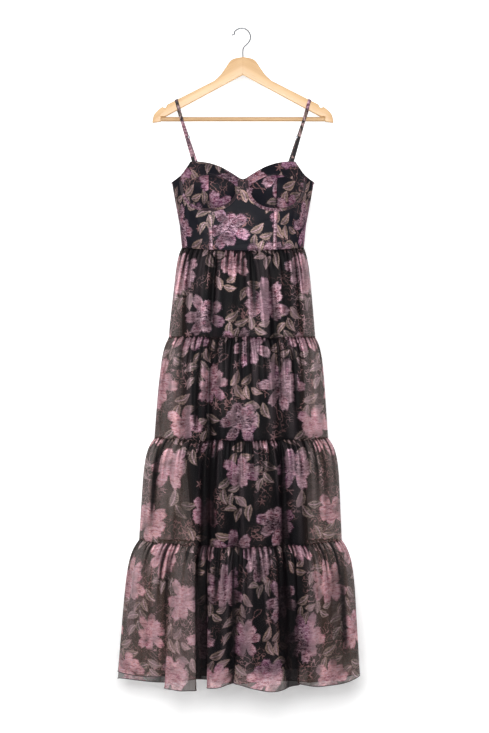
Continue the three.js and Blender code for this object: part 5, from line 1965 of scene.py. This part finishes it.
stitch_lines = []
arch_whole = np.vstack([arch_inner, arch_outer[1:]])[ARCH_STITCH_ENDS:-ARCH_STITCH_ENDS]
arch_inset, arch_lift = ARCH_STITCH
for shift in (arch_inset, -arch_inset):
    stitch_lines += both_sides(on_front(arch_whole[:, 0], arch_whole[:, 1] + shift, arch_lift))
for sign in (-1, 1):
    for middle, beside, casing, (inset, lift) in (
        (wire_middle, wire_beside, WIRE_CASING, WIRE_STITCH),
        (bone_middle, bone_beside, BONE_CASING, BONE_STITCH),
    ):
        spots = middle + beside * sign * (casing[0] - inset)
        height = CASING_LIFTS[sign + 1] + casing[1] + lift
        stitch_lines += both_sides(on_front(spots[:, 0], spots[:, 1], height))
waist_end = WAIST_HALF - WAIST_STITCH_END
waist_rise, waist_lift = WAIST_STITCH
waist_spots = waist_line(-waist_end, waist_end, WAIST_STITCH_STEPS)
stitch_lines.append(on_front(waist_spots[:, 0], waist_spots[:, 1] + waist_rise, waist_lift))
stitch_lines += strap_edges
stitches = run_along(
    "seam_stitches",
    stitch_lines,
    STITCH_ROW,
    {"Pitch": STITCH_PITCH, "Length": STITCH_LENGTH, "Radius": STITCH_RADIUS},
    THREAD,
)
settle(stitches, [])


# Zip


def zip_tape_points(depth):
    heights = np.linspace(ZIP_TOP_Z, ZIP_BOTTOM_Z, ZIP_ROWS)[:, None]
    across = np.linspace(ZIP_HALF, -ZIP_HALF, ZIP_COLUMNS)[None, :]
    heights, across = np.broadcast_arrays(heights, across)
    angle = bodice_angle(across, heights)
    return bodice_point(BACK, angle, heights) - bodice_normal(BACK, angle, heights) * depth


tape_depth = BODICE_WALL + SEAM_GAP
tape_outer = zip_tape_points(tape_depth)
tape_inner = zip_tape_points(tape_depth + ZIP_THICK)
tape_faces = shell_faces(ZIP_ROWS, ZIP_COLUMNS)
tape = make_piece("zip_tape_cloth", np.stack([tape_outer, tape_inner]), tape_faces, TAPE_CLOTH)
settle(tape, ["zip_tape"])
tooth_line = tape_inner[:, ZIP_COLUMNS // 2] - np.array([0, TOOTH_LIFT, 0])
teeth = run_along(
    "zip_teeth",
    [tooth_line + TOOTH_OFFSET, tooth_line - TOOTH_OFFSET],
    STITCH_ROW,
    {"Pitch": TOOTH_PITCH, "Length": TOOTH_LENGTH, "Radius": TOOTH_RADIUS},
    TAPE_CLOTH,
)
settle(teeth, [])


# Metal hardware


def rounded_copy(solid, rounding, steps, body):
    """A solid's own shape with its edges rounded off, in bright metal."""
    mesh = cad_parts[solid].data.copy()
    mesh.materials.clear()
    mesh.materials.append(CHROME)
    shape = bmesh.new()
    shape.from_mesh(mesh)
    bmesh.ops.remove_doubles(shape, verts=shape.verts, dist=MERGE_DISTANCE)
    flat = math.radians(FLAT_DEGREES)
    bmesh.ops.dissolve_limit(shape, angle_limit=flat, verts=shape.verts, edges=shape.edges)
    shape.to_mesh(mesh)
    shape.free()
    rough = put_in_scene(f"{solid}_rough", mesh)
    round_edges(rough, rounding, steps, METAL_EDGE_DEGREES)
    piece = as_plain_piece(rough, f"{solid}_metal")
    piece.data.shade_smooth()
    settle(piece, [solid], body)


for solid, rounding, steps, body in METAL_PIECES:
    rounded_copy(solid, rounding, steps, body)


# Hanger


def hanger_outline():
    """The hanger's outline from the top of its head round to the left, as x and z."""
    bar_top = BAR_Z + BAR_DIAMETER / 2 + SEAM_GAP
    under_x = (UNDER_APEX_Z - bar_top) / UNDER_SLOPE
    seat_x = BAR_HALF + SEAM_GAP
    notch_z = arm_top(NOTCH_X) - NOTCH_DEPTH
    half = [tuple(p) for p in spline(HEAD_CURVE, HEAD_STEPS)]
    half += [
        (NOTCH_X - NOTCH_HALF, arm_top(NOTCH_X - NOTCH_HALF)),
        (NOTCH_X - NOTCH_FLOOR, notch_z),
        (NOTCH_X + NOTCH_FLOOR, notch_z),
    ]
    half += [tuple(p) for p in spline(TIP_CURVE, TIP_STEPS)]
    half += [(seat_x, BAR_Z - BAR_DIAMETER / 2 - SEAM_GAP), (seat_x, bar_top), (under_x, bar_top)]
    half.append((0.0, UNDER_APEX_Z))
    left = [(-x, z) for x, z in half[1:-1]][::-1]
    return half + left


def carve_hanger():
    """The hanger's two arms as one board with rounded edges."""
    shape = bmesh.new()
    front = [shape.verts.new((x * MM, -HANGER_THICK / 2 * MM, z * MM)) for x, z in hanger_outline()]
    face = shape.faces.new(front)
    pushed = bmesh.ops.extrude_face_region(shape, geom=[face])["geom"]
    moved = [part for part in pushed if isinstance(part, bmesh.types.BMVert)]
    bmesh.ops.translate(shape, verts=moved, vec=(0, HANGER_THICK * MM, 0))
    bmesh.ops.recalc_face_normals(shape, faces=shape.faces)
    mesh = bpy.data.meshes.new("hanger_blank")
    shape.to_mesh(mesh)
    shape.free()
    mesh.materials.append(ARM_WOOD)
    blank = put_in_scene("hanger_blank", mesh)
    round_edges(blank, HANGER_ROUND, HANGER_ROUND_STEPS, HANGER_EDGE_DEGREES)
    piece = as_plain_piece(blank, "hanger_arms")
    piece.data.shade_smooth()
    piece.data.set_sharp_from_angle(angle=math.radians(HANGER_SHARP_DEGREES))
    settle(piece, ["hanger_body"])


carve_hanger()

bar_line = resampled([(-BAR_HALF, 0, BAR_Z), (BAR_HALF, 0, BAR_Z)], BAR_STEPS)
bar = run_along("trouser_bar", [bar_line], ROLLED_EDGE, {"Radius": BAR_DIAMETER / 2}, BAR_WOOD)
settle(bar, ["hanger_bar"])


def hook_line():
    """The wire's middle line from its free tip round the bend and down into the hanger's head."""
    centre_z = HOOK_WIRE / 2 - HOOK_RADIUS
    turns = np.radians(HOOK_BEND)
    bend_x = HOOK_CENTRE_X + HOOK_RADIUS * np.cos(turns)
    bend_z = centre_z + HOOK_RADIUS * np.sin(turns)
    shank = [(x, centre_z - below) for x, below in HOOK_SHANK]
    flat = spline([HOOK_TIP, HOOK_CURL, *zip(bend_x, bend_z), *shank, (0, HOOK_FOOT_Z)], HOOK_STEPS)
    return np.stack([flat[:, 0], np.zeros(len(flat)), flat[:, 1]], axis=1)


hook = run_along("wire_hook", [hook_line()], ROLLED_EDGE, {"Radius": HOOK_WIRE / 2}, CHROME)
settle(hook, ["hanger_hook"])


# Floor, light and camera


def white_floor():
    """A pale round floor that fades into the white around it."""
    mesh = bpy.data.meshes.new("studio_floor")
    shape = bmesh.new()
    bmesh.ops.create_circle(shape, cap_ends=True, segments=FLOOR_SIDES, radius=FLOOR_RADIUS)
    bmesh.ops.translate(shape, verts=shape.verts, vec=(0, 0, FLOOR_Z))
    shape.to_mesh(mesh)
    shape.free()
    material, tree, shader = new_material("studio_floor")
    spot = node(tree, "ShaderNodeTexCoord").outputs["Object"]
    flat = node(tree, "ShaderNodeVectorMath", {0: spot, 1: (1, 1, 0)}, operation="MULTIPLY").outputs[0]
    distance = node(tree, "ShaderNodeVectorMath", {0: flat}, operation="LENGTH").outputs["Value"]
    shade = ramp(tree, distance, FLOOR_CLEAR_RADIUS, FLOOR_FADED_RADIUS, 1.0, 0.0)
    tree.links.new(shade, shader.inputs["Alpha"])
    shader.inputs["Base Color"].default_value = (FLOOR_SHADE, FLOOR_SHADE, FLOOR_SHADE, 1)
    shader.inputs["Roughness"].default_value = FLOOR_ROUGHNESS
    mesh.materials.append(material)
    put_in_scene("studio_floor", mesh)


def white_wall():
    """A white wall close behind the dress, seen only from its own side, which fades into the white.
    It glows more from the knees up, so that a shadow shows only under the hem."""
    mesh = bpy.data.meshes.new("studio_wall")
    shape = bmesh.new()
    bmesh.ops.create_grid(shape, x_segments=1, y_segments=1, size=WALL_HALF)
    for corner in shape.verts:
        corner.co = (corner.co.x, WALL_Y, FLOOR_Z + WALL_HALF + corner.co.y)
    bmesh.ops.recalc_face_normals(shape, faces=shape.faces)
    if next(iter(shape.faces)).normal.y > 0:
        bmesh.ops.reverse_faces(shape, faces=shape.faces)
    shape.to_mesh(mesh)
    shape.free()
    material, tree, shader = new_material("studio_wall")
    behind = node(tree, "ShaderNodeNewGeometry").outputs["Backfacing"]
    spot = node(tree, "ShaderNodeTexCoord").outputs["Object"]
    parts = node(tree, "ShaderNodeSeparateXYZ", {0: spot}).outputs
    faded = ramp(tree, maths(tree, "ABSOLUTE", parts[0]), *WALL_FADE, 1.0, 0.0)
    tree.links.new(maths(tree, "MULTIPLY", faded, opposite(tree, behind)), shader.inputs["Alpha"])
    shader.inputs["Base Color"].default_value = (WALL_SHADE, WALL_SHADE, WALL_SHADE, 1)
    shader.inputs["Roughness"].default_value = WALL_ROUGHNESS
    glow = ramp(tree, parts[2], *WALL_GLOW_Z, *WALL_GLOW)
    tree.links.new(glow, shader.inputs["Emission Color"])
    shader.inputs["Emission Strength"].default_value = 1.0
    mesh.materials.append(material)
    put_in_scene("studio_wall", mesh)


def white_world():
    """White all round for the camera, and a softer white for the light that it gives."""
    world = bpy.data.worlds.new("white_studio")
    world.use_nodes = True
    bpy.context.scene.world = world
    tree = world.node_tree
    seen = node(tree, "ShaderNodeLightPath").outputs["Is Camera Ray"]
    strength = ramp(tree, seen, 0, 1, WORLD_LIGHT, 1.0)
    background = tree.nodes["Background"]
    background.inputs["Color"].default_value = (1, 1, 1, 1)
    tree.links.new(strength, background.inputs["Strength"])


def aim(thing, target):
    direction = Vector(target) - thing.location
    thing.rotation_euler = direction.to_track_quat("-Z", "Y").to_euler()


def hang_lamps():
    for name, place, target, size, watts in LAMPS:
        data = bpy.data.lights.new(name, "AREA")
        data.size = size
        data.energy = watts
        lamp = put_in_scene(name, data)
        lamp.location = place
        aim(lamp, target)


def set_camera():
    data = bpy.data.cameras.new("photograph_view")
    data.sensor_fit = "VERTICAL"
    data.sensor_height = SENSOR
    data.lens = SENSOR * CAMERA_DISTANCE / (PICTURE_TALL * MM_PER_PIXEL * MM)
    camera = put_in_scene("photograph_view", data)
    camera.location = (CAMERA_X, -CAMERA_DISTANCE, CAMERA_Z)
    camera.rotation_euler = (math.pi / 2, 0, 0)
    bpy.context.scene.camera = camera


white_floor()
white_wall()
white_world()
hang_lamps()
set_camera()
bpy.context.scene.view_settings.view_transform = "Standard"
